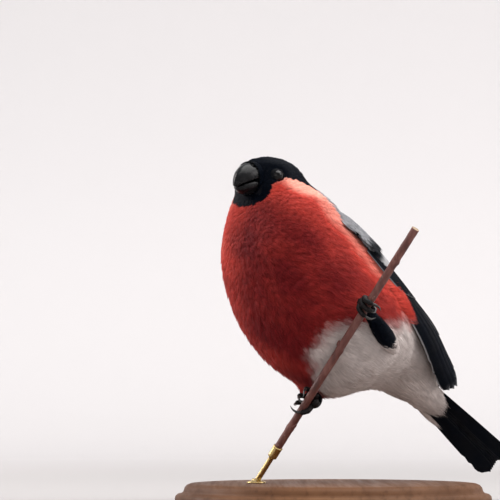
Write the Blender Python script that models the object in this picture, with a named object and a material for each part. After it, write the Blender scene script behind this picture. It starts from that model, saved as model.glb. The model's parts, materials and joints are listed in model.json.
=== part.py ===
"""A still, life-size male Eurasian bullfinch that grips a cut twig, on a plain turned base.

Sizes are in millimetres, and MM turns them to metres where a mesh is made. Three frames are used:
the world, with +Z up and the viewer at -Y; the body's frame, whose axes run to the bird's left, to
its back and up its long axis; and the head's frame, to its left, to its nape and to its crown.
"""

import math
import random

import bmesh
import bpy
import numpy as np
from mathutils import Matrix, Quaternion, Vector

MM = 0.001
GAP = 0.3
UP = Vector((0, 0, 1))

# Stance: how the long axis leans from upright, and how far the left flank is rolled to the viewer
LEAN_SIDEWAYS = math.radians(45)
LEAN_TO_VIEWER = math.radians(19)
ROLL = math.radians(35)
HEAD_TURN = math.radians(35)
BODY_AT = Vector((-3.9, 6.0, 78.5))
HEAD_AT = Vector((10.0, 11.4, 47.1))

# Trunk sections: place on the middle line, its point (left, back, up), half width, depth behind and
# before it, and the section's share of the turn from the body's axes to the head's
TRUNK = (
    (-40, 0.0, 5.0, -40.0, 14.5, 7.5, 12.0, 0.0),
    (-33, 0.0, 3.0, -33.0, 20.0, 10.5, 19.5, 0.0),
    (-24, 0.0, 0.5, -24.0, 24.0, 14.0, 31.5, 0.0),
    (-10, 0.0, -1.5, -10.0, 26.5, 17.5, 34.5, 0.0),
    (4, 0.0, -2.0, 4.0, 28.0, 21.5, 35.0, 0.0),
    (18, 1.4, -1.0, 18.0, 26.8, 23.1, 30.2, 0.25),
    (29, 4.4, 2.5, 28.7, 24.2, 22.5, 24.0, 0.65),
)
# Head sections: height over the head's middle, shift to its left and nape, half width, depth behind, before
HEAD = (
    (-9, 3.0, 5.0, 19.5, 23.0, 18.0),
    (-4, 1.5, 4.5, 15.3, 20.5, 15.5),
    (1, 0.0, 3.5, 12.6, 16.8, 14.2),
    (5, 0.0, 3.0, 10.6, 13.5, 12.6),
    (8, 0.0, 2.0, 7.6, 9.8, 9.4),
    (9.5, 0.0, 1.2, 4.2, 5.4, 5.2),
    (10.1, 0.0, 0.8, 0.6, 0.8, 0.8),
)
HEAD_START = 49
SECTION_POWER = 2.2
TRUNK_ENDS = (-40, 29)
NECK_ENDS = (29.8, 43.5)
HEAD_ENDS = (44, HEAD_START + HEAD[-1][0])
TRUNK_RINGS = 20
NECK_RINGS = 7
HEAD_RINGS = 12
AROUND = 36

EYE_RADIUS = 2.6
EYE_AT = Vector((8.3, -4.3, 2.2))
EYE_LOOK = Vector((0.88, -0.42, 0.12)).normalized()
LID_RING = 2.55
LID_THICK = 0.55

# Bill sections: distance before the head's middle, upper line, lower line, half width
BILL_UPPER = (
    (8.5, 7.4, 1.4, 5.2),
    (12.0, 7.0, 1.0, 4.8),
    (15.0, 5.6, 0.4, 3.9),
    (17.5, 3.6, -0.4, 2.6),
    (19.2, 1.2, -1.2, 1.2),
    (19.9, -0.5, -1.3, 0.4),
)
BILL_LOWER = (
    (8.5, 0.4, -4.6, 4.9),
    (12.0, -0.2, -4.9, 4.5),
    (15.0, -1.5, -4.8, 3.5),
    (17.2, -2.7, -4.1, 2.1),
    (18.3, -3.1, -3.6, 0.7),
)
NOSTRIL_AT = Vector((2.6, -11.8, 6.0))
NOSTRIL_RADIUS = 0.45

# Sheet that a folded wing follows: place along the body, half width, middle's height, height of the arch.
# The left wing hangs a little from the tail's side, and the right one is tucked in over the rump.
WING_FRONT = (
    (24, 27.0, 1.0, 24.5),
    (10, 28.6, -1.5, 24.5),
    (-10, 27.3, -1.0, 19.5),
)
LEFT_WING_END = (
    (-25, 24.9, 1.0, 16.3),
    (-40, 21.6, 3.6, 13.4),
    (-52, 17.2, 4.8, 10.6),
    (-66, 12.0, 6.2, 7.8),
)
RIGHT_WING_END = (
    (-25, 23.5, 1.0, 16.0),
    (-40, 16.5, 4.0, 12.0),
    (-52, 11.5, 6.0, 8.2),
    (-66, 8.4, 8.0, 5.6),
)
WING_SHEETS = {1: WING_FRONT + LEFT_WING_END, -1: WING_FRONT + RIGHT_WING_END}
LOWEST_PRIMARY = {1: -26, -1: 36}

# A folded wing: its arm, then its feathers tier by tier. Each tier has its count, root and tip at its
# lowest and its highest feather as (place, angle in degrees, lift), and its outline as (share of the
# length, half width). The longest primary stands out, and its neighbours less with their distance
WING_ARM = (
    (22, 42, -0.4),
    (-8, 44, 0.9),
    ((0, 7), (0.12, 11.5), (0.4, 14.5), (0.7, 14.5), (1, 11)),
)
ARM_THICKNESS = 3.0
VANE_THICKNESS = 0.55
QUILL = ((0, 3.0), (0.45, 4.4), (0.85, 3.9), (1, 1.1))
COVERT = ((0, 2.8), (0.5, 4.6), (0.88, 4.0), (1, 1.6))
WING_TIERS = (
    ("primary", 6, (-2, 13, 0.3), (-2, 42, 0.9), (-60, None, 0.8), (-53, 62, 2.3), QUILL),
    ("primary covert", 2, (5, 6, 0.6), (5, 15, 0.9), (-21, 11, 1.1), (-24, 21, 1.6), COVERT),
    ("secondary", 5, (0, 24, 0.9), (0, 58, 1.3), (-44, 29, 1.9), (-39, 61, 3.0), QUILL),
    ("tertial", 2, (4, 66, 1.3), (6, 74, 1.5), (-36, 68, 3.4), (-29, 74, 3.9), QUILL),
    ("greater covert", 6, (8, 12, 1.4), (8, 68, 1.6), (-8, 15, 2.1), (-10, 67, 3.4), COVERT),
)
LONGEST_PRIMARY = 1.6
PRIMARY_POINT = 5.0
POINT_SPREAD = 1.6
PLACE_VARIES = 0.5
ANGLE_VARIES = 0.6

# Tail: the mass that carries it, its feathers and the coverts above and below
TAIL_ROOT = (
    (-40, 0.0, 5.0, -40.0, 14.5, 7.5, 12.0),
    (-47, 0.0, 6.3, -47.0, 10.4, 4.4, 8.6),
    (-54, 0.0, 6.8, -54.0, 6.8, 2.4, 4.8),
    (-60, 0.0, 7.2, -60.0, 3.8, 1.2, 2.2),
)
TAIL_LEVEL = (7.0, 9.8)
TAIL_FEATHERS = 12
TAIL_ROOT_AT = -48
TAIL_TIP = -103.5
TAIL_SPACING = (0.5, 0.9)
TAIL_STEP = 0.36
TAIL_STAGGER = 0.12
TAIL_NOTCH = 0.35
TAIL_VANE = ((0, 1.8), (0.5, 3.0), (0.94, 3.5), (1, 1.9))
TAIL_COVERT = ((0, 2.8), (0.4, 3.6), (0.8, 2.9), (1, 0.9))
UNDER_COVERTS = 6
UPPER_COVERTS = 4

# Legs: ankles in the body's frame, feet by their place on the twig
ANKLE_LEFT = Vector((21.0, -21.5, -21.5))
ANKLE_RIGHT = Vector((-18.0, -26.0, -22.0))
FOOT_LEFT_ON_TWIG = 0.66
FOOT_RIGHT_ON_TWIG = 0.246
THIGH_RADII = (6.5, 5.0, 1.8)
TARSUS_RADIUS = 1.05
TOE_RADIUS = 0.8
PALM_RADIUS = 1.8
HEEL_LENGTH = 4.4
# A claw by distance along it and radius, and how much it hooks in towards the twig
CLAW_LINE = ((0, 0.6), (1.2, 0.5), (2.4, 0.38), (3.6, 0.24), (4.6, 0.08))
CLAW_HOOK = 0.12

# Twig and stand
TWIG_LOW = Vector((-22.6, -8.3, 19.0))
TWIG_HIGH = Vector((28.5, -47.0, 101.0))
TWIG_RADIUS = 1.5
ROD_RADIUS = 1.2
# The rod's collar as (height over the base, share of the rod's radius)
ROD_COLLAR = ((0.0, 3.0), (0.5, 2.9), (0.9, 1.8), (1.6, 1.0))
BASE_HEIGHT = 8.0
# The base's turned edge as (radius, height), from its foot to the rim of its flat top
BASE_PROFILE = (
    (57.4, 0.0),
    (59.4, 0.5),
    (60.0, 2.0),
    (59.4, 3.5),
    (57.6, 4.25),
    (56.7, 5.0),
    (56.3, 6.4),
    (55.5, 7.3),
    (54.2, 7.85),
    (52.5, BASE_HEIGHT),
)


def body_axes():
    """The body's left, back and long axis in the world, from the angles of its stance."""
    flat = math.cos(LEAN_TO_VIEWER)
    along = Vector(
        (-math.sin(LEAN_SIDEWAYS) * flat, -math.sin(LEAN_TO_VIEWER), math.cos(LEAN_SIDEWAYS) * flat)
    )
    to_viewer = Vector((0, -1, 0))
    to_viewer -= along * along.dot(to_viewer)
    front = Quaternion(along, -ROLL) @ to_viewer.normalized()
    return Matrix((along.cross(front), -front, along)).transposed()


def head_axes(body):
    """The head's left, nape and crown in the body's frame: it is level, its bill turned from the viewer."""
    bill = Vector((-math.sin(HEAD_TURN), -math.cos(HEAD_TURN), 0))
    return body.transposed() @ Matrix((UP.cross(bill), -bill, UP)).transposed()


BODY_AXES = body_axes()
HEAD_AXES = head_axes(BODY_AXES)


def from_body(point):
    """A point of the body's frame in the world."""
    return BODY_AT + BODY_AXES @ Vector(point)


def from_head(point):
    """A point of the head's frame in the world."""
    return from_body(HEAD_AT + HEAD_AXES @ Vector(point))


def body_rows():
    """Trunk and head sections as one table in the body's frame."""
    rows = list(TRUNK)
    for height, left, back, width, behind, before in HEAD:
        middle = HEAD_AT + HEAD_AXES @ Vector((left, back, height))
        rows.append((HEAD_START + height, *middle, width, behind, before, 1.0))
    return rows


def between(rows, place):
    """The row at one place of a table, on a smooth curve through its rows."""
    table = np.array(sorted(rows), float)
    places = table[:, 0]
    slopes = np.gradient(table, places, axis=0)
    i = int(np.clip(np.searchsorted(places, place) - 1, 0, len(places) - 2))
    step = places[i + 1] - places[i]
    u = (place - places[i]) / step
    near = (2 * u**3 - 3 * u**2 + 1) * table[i] + (u**3 - 2 * u**2 + u) * step * slopes[i]
    far = (3 * u**2 - 2 * u**3) * table[i + 1] + (u**3 - u**2) * step * slopes[i + 1]
    return near + far


def rounded(angle, power=SECTION_POWER):
    """A point of a rounded outline of half size 1, by its angle."""
    c, s = math.cos(angle), math.sin(angle)
    return (
        math.copysign(abs(c) ** (2 / power), c),
        math.copysign(abs(s) ** (2 / power), s),
    )


def section_point(row, angle, grow=0.0):
    """A point round one body section, in the world, from its left side round by the back."""
    _, left, back, along, width, behind, before = row[:7]
    turn = float(np.clip(row[7], 0, 1)) if len(row) > 7 else 0.0
    axes = Quaternion().slerp(HEAD_AXES.to_quaternion(), turn).to_matrix()
    c, s = rounded(angle)
    depth = behind if s > 0 else before
    flat = Vector((c * (width + grow), s * (depth + grow), 0))
    return from_body(Vector((left, back, along)) + axes @ flat)


def angles(count):
    return [2 * math.pi * i / count for i in range(count)]


def body_rings(ends, count, around, grow=0.0):
    rows = body_rows()
    return [
        [section_point(between(rows, place), angle, grow) for angle in angles(around)]
        for place in np.linspace(*ends, count)
    ]


def material(name, colour, roughness, metallic=0.0):
    made = bpy.data.materials.new(name)
    made.use_nodes = True
    shader = made.node_tree.nodes["Principled BSDF"]
    shader.inputs["Base Color"].default_value = (*colour, 1)
    shader.inputs["Roughness"].default_value = roughness
    shader.inputs["Metallic"].default_value = metallic
    made.diffuse_color = (*colour, 1)
    return made


def mesh_object(name, points, faces, finish):
    """A closed mesh object with its faces pointing out, from points in millimetres."""
    mesh = bpy.data.meshes.new(name)
    mesh.from_pydata([Vector(point) * MM for point in points], [], faces)
    shape = bmesh.new()
    shape.from_mesh(mesh)
    bmesh.ops.recalc_face_normals(shape, faces=shape.faces)
    shape.to_mesh(mesh)
    shape.free()
    mesh.materials.append(finish)
    mesh.shade_smooth()
    mesh.set_sharp_from_angle(angle=math.radians(40))
    made = bpy.data.objects.new(name, mesh)
    PARTS.objects.link(made)
    return made


def loft(name, rings, finish):
    """A closed solid through rings of like counts, its two ends flat."""
    count = len(rings[0])
    points = [point for ring in rings for point in ring]
    faces = [
        (i * count + j, i * count + (j + 1) % count, (i + 1) * count + (j + 1) % count, (i + 1) * count + j)
        for i in range(len(rings) - 1)
        for j in range(count)
    ]
    last = (len(rings) - 1) * count
    faces += [tuple(range(count))[::-1], tuple(range(last, last + count))]
    return mesh_object(name, points, faces, finish)


def applied(thing):
    """The object with its modifiers applied."""
    graph = bpy.context.evaluated_depsgraph_get()
    old = thing.data
    new = bpy.data.meshes.new_from_object(thing.evaluated_get(graph))
    thing.modifiers.clear()
    thing.data = new
    bpy.data.meshes.remove(old)
    return thing


def largest_surface(thing):
    """Drops all but the largest closed surface, and so fills sealed hollows and clears loose scraps."""
    shape = bmesh.new()
    shape.from_mesh(thing.data)
    left = set(shape.faces)
    surfaces = []
    while left:
        grown = [left.pop()]
        surface = set(grown)
        while grown:
            face = grown.pop()
            for edge in face.edges:
                for near in edge.link_faces:
                    if near in left:
                        left.discard(near)
                        surface.add(near)
                        grown.append(near)
        surfaces.append(surface)
    surfaces.sort(key=lambda faces: sum(face.calc_area() for face in faces))
    scraps = [face for surface in surfaces[:-1] for face in surface]
    bmesh.ops.delete(shape, geom=scraps, context="FACES")
    shape.to_mesh(thing.data)
    shape.free()
    return thing


def remove(thing):
    mesh = thing.data
    bpy.data.objects.remove(thing)
    bpy.data.meshes.remove(mesh)


def combined(thing, others, operation, solver="EXACT"):
    """Joins the others to a node, or cuts them from it, in one Boolean that is applied."""
    group = bpy.data.collections.new(thing.name + " pieces")
    bpy.context.scene.collection.children.link(group)
    for other in others:
        group.objects.link(other)
        PARTS.objects.unlink(other)
    change = thing.modifiers.new(operation.lower(), "BOOLEAN")
    change.operation = operation
    change.operand_type = "COLLECTION"
    change.collection = group
    change.solver = solver
    applied(thing)
    for other in others:
        remove(other)
    bpy.data.collections.remove(group)
    return largest_surface(thing)


def tube(name, points, radii, finish, sides=3):
    """A closed tube along points: a curve with a bevel and filled caps, made a mesh."""
    curve = bpy.data.curves.new(name, "CURVE")
    curve.dimensions = "3D"
    curve.use_fill_caps = True
    curve.bevel_depth = MM
    curve.bevel_resolution = sides
    line = curve.splines.new("POLY")
    line.points.add(len(points) - 1)
    for knot, point, radius in zip(line.points, points, radii):
        knot.co = (*(Vector(point) * MM), 1)
        knot.radius = radius
    guide = bpy.data.objects.new(name, curve)
    PARTS.objects.link(guide)
    graph = bpy.context.evaluated_depsgraph_get()
    mesh = bpy.data.meshes.new_from_object(guide.evaluated_get(graph))
    bpy.data.objects.remove(guide)
    bpy.data.curves.remove(curve)
    shape = bmesh.new()
    shape.from_mesh(mesh)
    bmesh.ops.remove_doubles(shape, verts=shape.verts, dist=1e-6)
    bmesh.ops.recalc_face_normals(shape, faces=shape.faces)
    shape.to_mesh(mesh)
    shape.free()
    mesh.materials.clear()
    mesh.materials.append(finish)
    mesh.shade_smooth()
    made = bpy.data.objects.new(name, mesh)
    PARTS.objects.link(made)
    return made


def ball(name, centre, radius, finish, segments=20, rings=12, stretch=(1, 1, 1)):
    """A closed ball or egg at a point of the world, in millimetres."""
    shape = bmesh.new()
    bmesh.ops.create_uvsphere(shape, u_segments=segments, v_segments=rings, radius=radius * MM)
    bmesh.ops.transform(shape, matrix=Matrix.Diagonal((*stretch, 1)), verts=shape.verts)
    bmesh.ops.translate(shape, vec=Vector(centre) * MM, verts=shape.verts)
    mesh = bpy.data.meshes.new(name)
    shape.to_mesh(mesh)
    shape.free()
    mesh.materials.append(finish)
    mesh.shade_smooth()
    made = bpy.data.objects.new(name, mesh)
    PARTS.objects.link(made)
    return made


def vane(name, line, outline, thickness, finish):
    """A thin feather on line(share, across), which gives a point and its outward side."""
    points = []
    for share, width in outline:
        for side in (-1, 0, 1):
            point, out = line(share, side * width)
            points += [point + out * (thickness / 2), point - out * (thickness / 2)]
    faces = []
    for k in range(len(outline) - 1):
        for j in range(2):
            a, b = 6 * k + 2 * j, 6 * k + 2 * j + 2
            c, d = b + 6, a + 6
            faces += [(a, b, c), (a, c, d), (a + 1, c + 1, b + 1), (a + 1, d + 1, c + 1)]
        for j in (0, 4):
            a, d = 6 * k + j, 6 * k + 6 + j
            faces += [(a, d, d + 1), (a, d + 1, a + 1)]
    for k in (0, len(outline) - 1):
        for j in range(2):
            a, b = 6 * k + 2 * j, 6 * k + 2 * j + 2
            faces += [(a, a + 1, b + 1), (a, b + 1, b)]
    return mesh_object(name, points, faces, finish)


def sheet_point(place, angle, lift, side):
    """A point over the folded wing's sheet, in the body's frame."""
    _, width, middle, height = between(WING_SHEETS[side], place)
    c, s = rounded(angle)
    return Vector((side * c * (width + lift), middle + s * (height + lift), place))


def sheet_line(root, tip, side):
    """A feather's line over the sheet from root to tip, each (place, angle in degrees, lift)."""

    def line(share, across):
        place, turn, lift = (a + (b - a) * share for a, b in zip(root, tip))
        angle = math.radians(turn)
        step = 0.02
        middle = sheet_point(place, angle, lift, side)
        low = sheet_point(place, angle - step, lift, side)
        high = sheet_point(place, angle + step, lift, side)
        sideways = (high - low) / 2
        point = sheet_point(place, angle + step * across / sideways.length, lift, side)
        onward = sheet_point(place - 1, angle, lift, side) - middle
        out = sideways.cross(onward).normalized()
        if out.dot(middle) < 0:
            out = -out
        return from_body(point), BODY_AXES @ out

    return line


def build_torso():
    return loft("torso", body_rings(TRUNK_ENDS, TRUNK_RINGS, AROUND), RED)


def build_neck():
    return loft("neck", body_rings(NECK_ENDS, NECK_RINGS, AROUND), RED)


def bill_rings(rows, grow=0.0):
    """Rings round one half of the bill, its cutting edge flat and its back or keel round."""
    rings = []
    upper = rows is BILL_UPPER
    for place, top, bottom, width in rows:
        forward = place - grow if place == rows[0][0] else place + grow
        ring = []
        edge, far = (bottom, top) if upper else (top, bottom)
        middle = edge + (far - edge) * 0.25
        for angle in angles(16):
            c, s = math.cos(angle), math.sin(angle)
            reach = (far - middle) if s > 0 else (middle - edge)
            height = middle + s * (reach + math.copysign(grow, far - edge))
            ring.append(from_head((c * (width + grow), -forward, height)))
        rings.append(ring)
    return rings


def build_head():
    """Head with the bill's and eyes' beds cut in, and its lids."""
    head = loft("head", body_rings(HEAD_ENDS, HEAD_RINGS, AROUND), BLACK)
    lids = []
    for side in (1, -1):
        look = Vector((side * EYE_LOOK.x, EYE_LOOK.y, EYE_LOOK.z))
        at = Vector((side * EYE_AT.x, EYE_AT.y, EYE_AT.z)) + look * 1.5
        across = look.cross(UP).normalized()
        over = across.cross(look)
        ring = [from_head(at + (across * math.cos(a) + over * math.sin(a)) * LID_RING) for a in angles(16)]
        lids.append(loft_ring(f"lid {side}", ring, from_head(look + at) - from_head(at), LID_THICK, BLACK))
    combined(head, lids, "UNION")
    beds = [
        loft("bill bed upper", bill_rings(BILL_UPPER, GAP), BLACK),
        loft("bill bed lower", bill_rings(BILL_LOWER, GAP), BLACK),
    ]
    for side in (1, -1):
        centre = from_head((side * EYE_AT.x, EYE_AT.y, EYE_AT.z))
        beds.append(ball(f"eye bed {side}", centre, EYE_RADIUS + GAP, BLACK, 20, 12))
    return combined(head, beds, "DIFFERENCE")


def loft_ring(name, ring, axis, thick, finish):
    """A closed torus-like band round a ring of points."""
    count = len(ring)
    centre = sum(ring, Vector()) / count
    points = []
    for point in ring:
        out = (point - centre).normalized()
        points += [point + out * thick * math.cos(a) + axis * thick * math.sin(a) for a in angles(6)]
    faces = [
        (6 * i + j, 6 * i + (j + 1) % 6, 6 * ((i + 1) % count) + (j + 1) % 6, 6 * ((i + 1) % count) + j)
        for i in range(count)
        for j in range(6)
    ]
    return mesh_object(name, points, faces, finish)


def build_eyes():
    for name, side in (("eye_left", 1), ("eye_right", -1)):
        ball(name, from_head((side * EYE_AT.x, EYE_AT.y, EYE_AT.z)), EYE_RADIUS, EYE, 18, 11)


def build_bill():
    upper = loft("bill_upper", bill_rings(BILL_UPPER), HORN)
    pits = []
    for side in (1, -1):
        centre = from_head((side * NOSTRIL_AT.x, NOSTRIL_AT.y, NOSTRIL_AT.z))
        pits.append(ball(f"nostril {side}", centre, NOSTRIL_RADIUS, HORN, 8, 6))
    combined(upper, pits, "DIFFERENCE")
    loft("bill_lower", bill_rings(BILL_LOWER), HORN)


def body_beds():
    """The trunk and neck, each grown by the gap that a wing keeps to them; they overlap where they meet."""
    trunk = body_rings(TRUNK_ENDS, TRUNK_RINGS, AROUND, GAP)
    neck = body_rings(NECK_ENDS, NECK_RINGS, AROUND, GAP)
    seam = sum(TRUNK_ENDS[1:] + NECK_ENDS[:1]) / 2
    trunk += body_rings((seam + 0.1, seam + 0.1), 1, AROUND, GAP)
    neck = body_rings((seam - 0.1, seam - 0.1), 1, AROUND, GAP) + neck
    return [loft("trunk bed", trunk, BLACK), loft("neck bed", neck, BLACK)]


def shifted(low, high, share, draw):
    """A value between a tier's lowest and highest feather, varied a little as real feathers are."""
    place, turn, lift = (a + (b - a) * share for a, b in zip(low, high))
    place += draw.uniform(-PLACE_VARIES, PLACE_VARIES)
    turn += draw.uniform(-ANGLE_VARIES, ANGLE_VARIES)
    return place, turn, lift


def build_wing(name, side):
    """The arm with the small coverts' mass, and the tiers of feathers that grow from it."""
    root, tip, outline = WING_ARM
    wing = vane(name, sheet_line(root, tip, side), outline, ARM_THICKNESS, BLACK)
    draw = random.Random(len(name))
    feathers = []
    for tier, count, root_low, root_high, tip_low, tip_high, outline in WING_TIERS:
        if tier == "primary":
            tip_low = (tip_low[0], LOWEST_PRIMARY[side], tip_low[2])
        for k in range(count):
            share = k / (count - 1)
            root = shifted(root_low, root_high, share, draw)
            place, turn, lift = shifted(tip_low, tip_high, share, draw)
            if tier == "primary":
                place -= PRIMARY_POINT * math.exp(-(((k - LONGEST_PRIMARY) / POINT_SPREAD) ** 2))
            line = sheet_line(root, (place, turn, lift), side)
            feathers.append(vane(f"{tier} {k}", line, outline, VANE_THICKNESS, BLACK))
    combined(wing, feathers, "UNION", "MANIFOLD")
    return combined(wing, body_beds(), "DIFFERENCE", "MANIFOLD")


def straight_line(root, tip, out, bow=0.0):
    """A feather's line between two points of the body's frame, arched towards its outer side."""
    root, tip, out = Vector(root), Vector(tip), Vector(out).normalized()
    sideways = (tip - root).cross(out).normalized()

    def line(share, across):
        point = root.lerp(tip, share) + out * (bow * 4 * share * (1 - share)) + sideways * across
        return from_body(point), BODY_AXES @ out

    return line


def tail_feathers():
    """Twelve feathers fanned from the tail's root, the middle pair on top and a little shorter."""
    made = []
    half = (TAIL_FEATHERS - 1) / 2
    for k in range(TAIL_FEATHERS):
        place = k - half
        step = (half / 2 - abs(place)) * TAIL_STEP + TAIL_STAGGER * (k % 2)
        root = (place * TAIL_SPACING[0], TAIL_LEVEL[0] + step, TAIL_ROOT_AT)
        tip = (place * TAIL_SPACING[1], TAIL_LEVEL[1] + step, TAIL_TIP - TAIL_NOTCH * abs(place))
        line = straight_line(root, tip, (0.03 * place, 1, 0))
        made.append(vane(f"tail feather {k}", line, TAIL_VANE, VANE_THICKNESS, BLACK))
    return made


def tail_coverts():
    """Tapered coverts that lie under and over the tail's base."""
    made = []
    for k in range(UNDER_COVERTS):
        share = k / (UNDER_COVERTS - 1) * 2 - 1
        root = (share * 8.2, -2.2 + 5.5 * share**2, -43)
        tip = (share * 3.2, 5.0 + 0.9 * share**2, -73 + 5 * abs(share))
        line = straight_line(root, tip, (share * 0.8, -1, -0.3), 1.0)
        made.append(vane(f"under covert {k}", line, TAIL_COVERT, 0.6 + 0.05 * (k % 2), BLACK))
    for k in range(UPPER_COVERTS):
        share = k / (UPPER_COVERTS - 1) * 2 - 1
        root = (share * 6.5, 10.2 - 1.8 * share**2, -43)
        tip = (share * 3.6, 9.8 - 0.6 * share**2, -66 + 4 * abs(share))
        line = straight_line(root, tip, (share * 0.6, 1, 0.1), 0.6)
        made.append(vane(f"upper covert {k}", line, TAIL_COVERT, 0.6 + 0.05 * (k % 2), BLACK))
    return made


def build_tail():
    rows = [row + (0.0,) for row in TAIL_ROOT]
    rings = [
        [section_point(between(rows, place), angle) for angle in angles(20)]
        for place in np.linspace(TAIL_ROOT[0][0] - GAP, TAIL_ROOT[-1][0], 6)
    ]
    tail = loft("tail", rings, BLACK)
    return combined(tail, tail_feathers() + tail_coverts(), "UNION", "MANIFOLD")


def twig_point(share):
    return TWIG_LOW.lerp(TWIG_HIGH, share)


def twig_axes():
    """The twig's direction, the side of it that faces the viewer, and its upper left side."""
    along = (TWIG_HIGH - TWIG_LOW).normalized()
    near = Vector((0, -1, 0))
    near = (near - along * along.dot(near)).normalized()
    return along, near, along.cross(near)


def round_twig(share, shift, turn, distance):
    """A point beside the twig: turn goes from the viewer's side by its upper left side to behind it."""
    along, near, over = twig_axes()
    angle = math.radians(turn)
    return twig_point(share) + along * shift + (near * math.cos(angle) + over * math.sin(angle)) * distance


def toe_points(share, palm_turn, shift_from, shift_to, sweep, reach, count=8):
    """The middle line of a toe that leaves the palm and bends round the twig."""
    start = TWIG_RADIUS + TOE_RADIUS + GAP
    return [
        round_twig(
            share,
            shift_from + (shift_to - shift_from) * k / (count - 1),
            palm_turn + sweep * k / (count - 1),
            start + reach * (k / (count - 1)) ** 2,
        )
        for k in range(count)
    ]


def grown_twig(name):
    ends = [twig_point(-0.02), twig_point(1.02)]
    return tube(name, ends, [TWIG_RADIUS + GAP] * 2, WOOD, 4)


def build_foot(side_name, share, palm_turn, knee, toes):
    """Palm, heel and four toes with their claws; toes lists (shift from, shift to, sweep, reach, radius)."""
    palm_at = round_twig(share, 0, palm_turn, TWIG_RADIUS + PALM_RADIUS)
    heel_at = palm_at + (knee - palm_at).normalized() * HEEL_LENGTH
    foot = ball(f"foot_{side_name}", palm_at, PALM_RADIUS, LEG, 12, 8)
    pieces = [tube("heel", [palm_at, heel_at], [TARSUS_RADIUS * 1.3, TARSUS_RADIUS * 1.2], LEG)]
    for k, (shift_from, shift_to, sweep, reach, radius) in enumerate(toes):
        line = toe_points(share, palm_turn, shift_from, shift_to, sweep, reach)
        pieces.append(tube(f"toe {k}", line, np.linspace(1.1, 0.85, len(line)) * radius, LEG))
        onward = (line[-1] - line[-2]).normalized()
        inward = (twig_point(share) - line[-1]).normalized()
        bend = [line[-1] + onward * (GAP + step) + inward * step**2 * CLAW_HOOK for step, _ in CLAW_LINE]
        tube(f"claw_{side_name}_{k + 1}", bend, [size for _, size in CLAW_LINE], CLAW)
    combined(foot, pieces, "UNION")
    combined(foot, [grown_twig("twig bed")], "DIFFERENCE")
    return heel_at


def build_legs():
    front_left = ((-0.4, -2.4, 165, 0.4, 0.75), (1.0, 0.3, 190, 0.5, 0.8), (2.4, 3.2, 165, 0.4, 0.75))
    back_left = ((0.4, 1.2, -110, 0.4, 0.8),)
    knee_left = from_body(ANKLE_LEFT)
    heel_left = build_foot("left", FOOT_LEFT_ON_TWIG, 225, knee_left, front_left + back_left)
    front_right = ((2.4, 3.4, 150, 0.5, 0.75), (0.0, -0.2, 165, 1.2, 0.8), (-2.2, -3.4, 145, 0.6, 0.75))
    back_right = ((-1.6, -4.6, -120, 0.5, 0.8),)
    knee_right = from_body(ANKLE_RIGHT)
    heel_right = build_foot("right", FOOT_RIGHT_ON_TWIG, 120, knee_right, front_right + back_right)
    for name, heel, knee, ankle in (
        ("left", heel_left, knee_left, ANKLE_LEFT),
        ("right", heel_right, knee_right, ANKLE_RIGHT),
    ):
        deep = from_body(ankle * 0.62 + Vector((0, 0, 2)))
        down = (knee - deep).normalized()
        calf = knee.lerp(deep, 0.35)
        thigh = tube(f"thigh_{name}", [deep, calf, knee + down], THIGH_RADII, WHITE, 4)
        bed_line = [knee - (heel - knee).normalized() * GAP, heel]
        combined(thigh, [tube("shank bed", bed_line, [TARSUS_RADIUS * 1.35 + GAP] * 2, LEG)], "DIFFERENCE")
        bed_line = [deep - down * GAP, calf, knee + down * (1 + GAP)]
        bed = tube("thigh bed", bed_line, [radius + GAP for radius in THIGH_RADII], WHITE, 4)
        combined(bpy.data.objects["torso"], [bed], "DIFFERENCE")
        end = heel + (knee - heel).normalized() * GAP
        radii = [TARSUS_RADIUS * 1.3, TARSUS_RADIUS, TARSUS_RADIUS * 1.2]
        tube(f"tarsus_{name}", [knee, knee.lerp(end, 0.5), end], radii, LEG)


def build_perch():
    points = [twig_point(k / 8) for k in range(9)]
    tube("perch", points, [TWIG_RADIUS] * 9, WOOD, 4)


def build_stand():
    """The turned base, and the rod with its collar, along the twig's line up to the twig's lower end."""
    rings = [
        [Vector((math.cos(a) * radius, math.sin(a) * radius, height)) for a in angles(48)]
        for radius, height in BASE_PROFILE
    ]
    loft("stand_base", rings, BASE_WOOD)
    along = (TWIG_HIGH - TWIG_LOW).normalized()
    top = TWIG_LOW - along * GAP
    across = along.cross(UP).normalized()
    over = across.cross(along)
    upper = [top + (across * math.cos(a) + over * math.sin(a)) * ROD_RADIUS for a in angles(16)]
    rings = []
    for height, share in ROD_COLLAR:
        level = BASE_HEIGHT + GAP + height
        centre = top - along * ((top.z - level) / along.z)
        ring = [point - along * ((point.z - level) / along.z) for point in upper]
        rings.append([centre + (point - centre) * share for point in ring])
    loft("stand_rod", rings + [upper], METAL)


for thing in list(bpy.data.objects):
    bpy.data.objects.remove(thing)

PARTS = bpy.data.collections.new("Bullfinch")
bpy.context.scene.collection.children.link(PARTS)

RED = material("breast feathers", (0.55, 0.08, 0.05), 0.8)
WHITE = material("white feathers", (0.75, 0.72, 0.7), 0.8)
BLACK = material("black feathers", (0.012, 0.014, 0.022), 0.45)
HORN = material("bill horn", (0.03, 0.028, 0.03), 0.35)
EYE = material("eye", (0.01, 0.006, 0.005), 0.05)
LEG = material("leg skin", (0.06, 0.035, 0.03), 0.55)
CLAW = material("claw horn", (0.02, 0.015, 0.014), 0.35)
WOOD = material("twig bark", (0.2, 0.09, 0.06), 0.8)
BASE_WOOD = material("base wood", (0.3, 0.17, 0.08), 0.45)
METAL = material("rod metal", (0.5, 0.42, 0.25), 0.3, 1.0)

build_torso()
build_neck()
build_head()
build_eyes()
build_bill()
build_wing("wing_left", 1)
build_wing("wing_right", -1)
build_tail()
build_legs()
build_perch()
build_stand()
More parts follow.
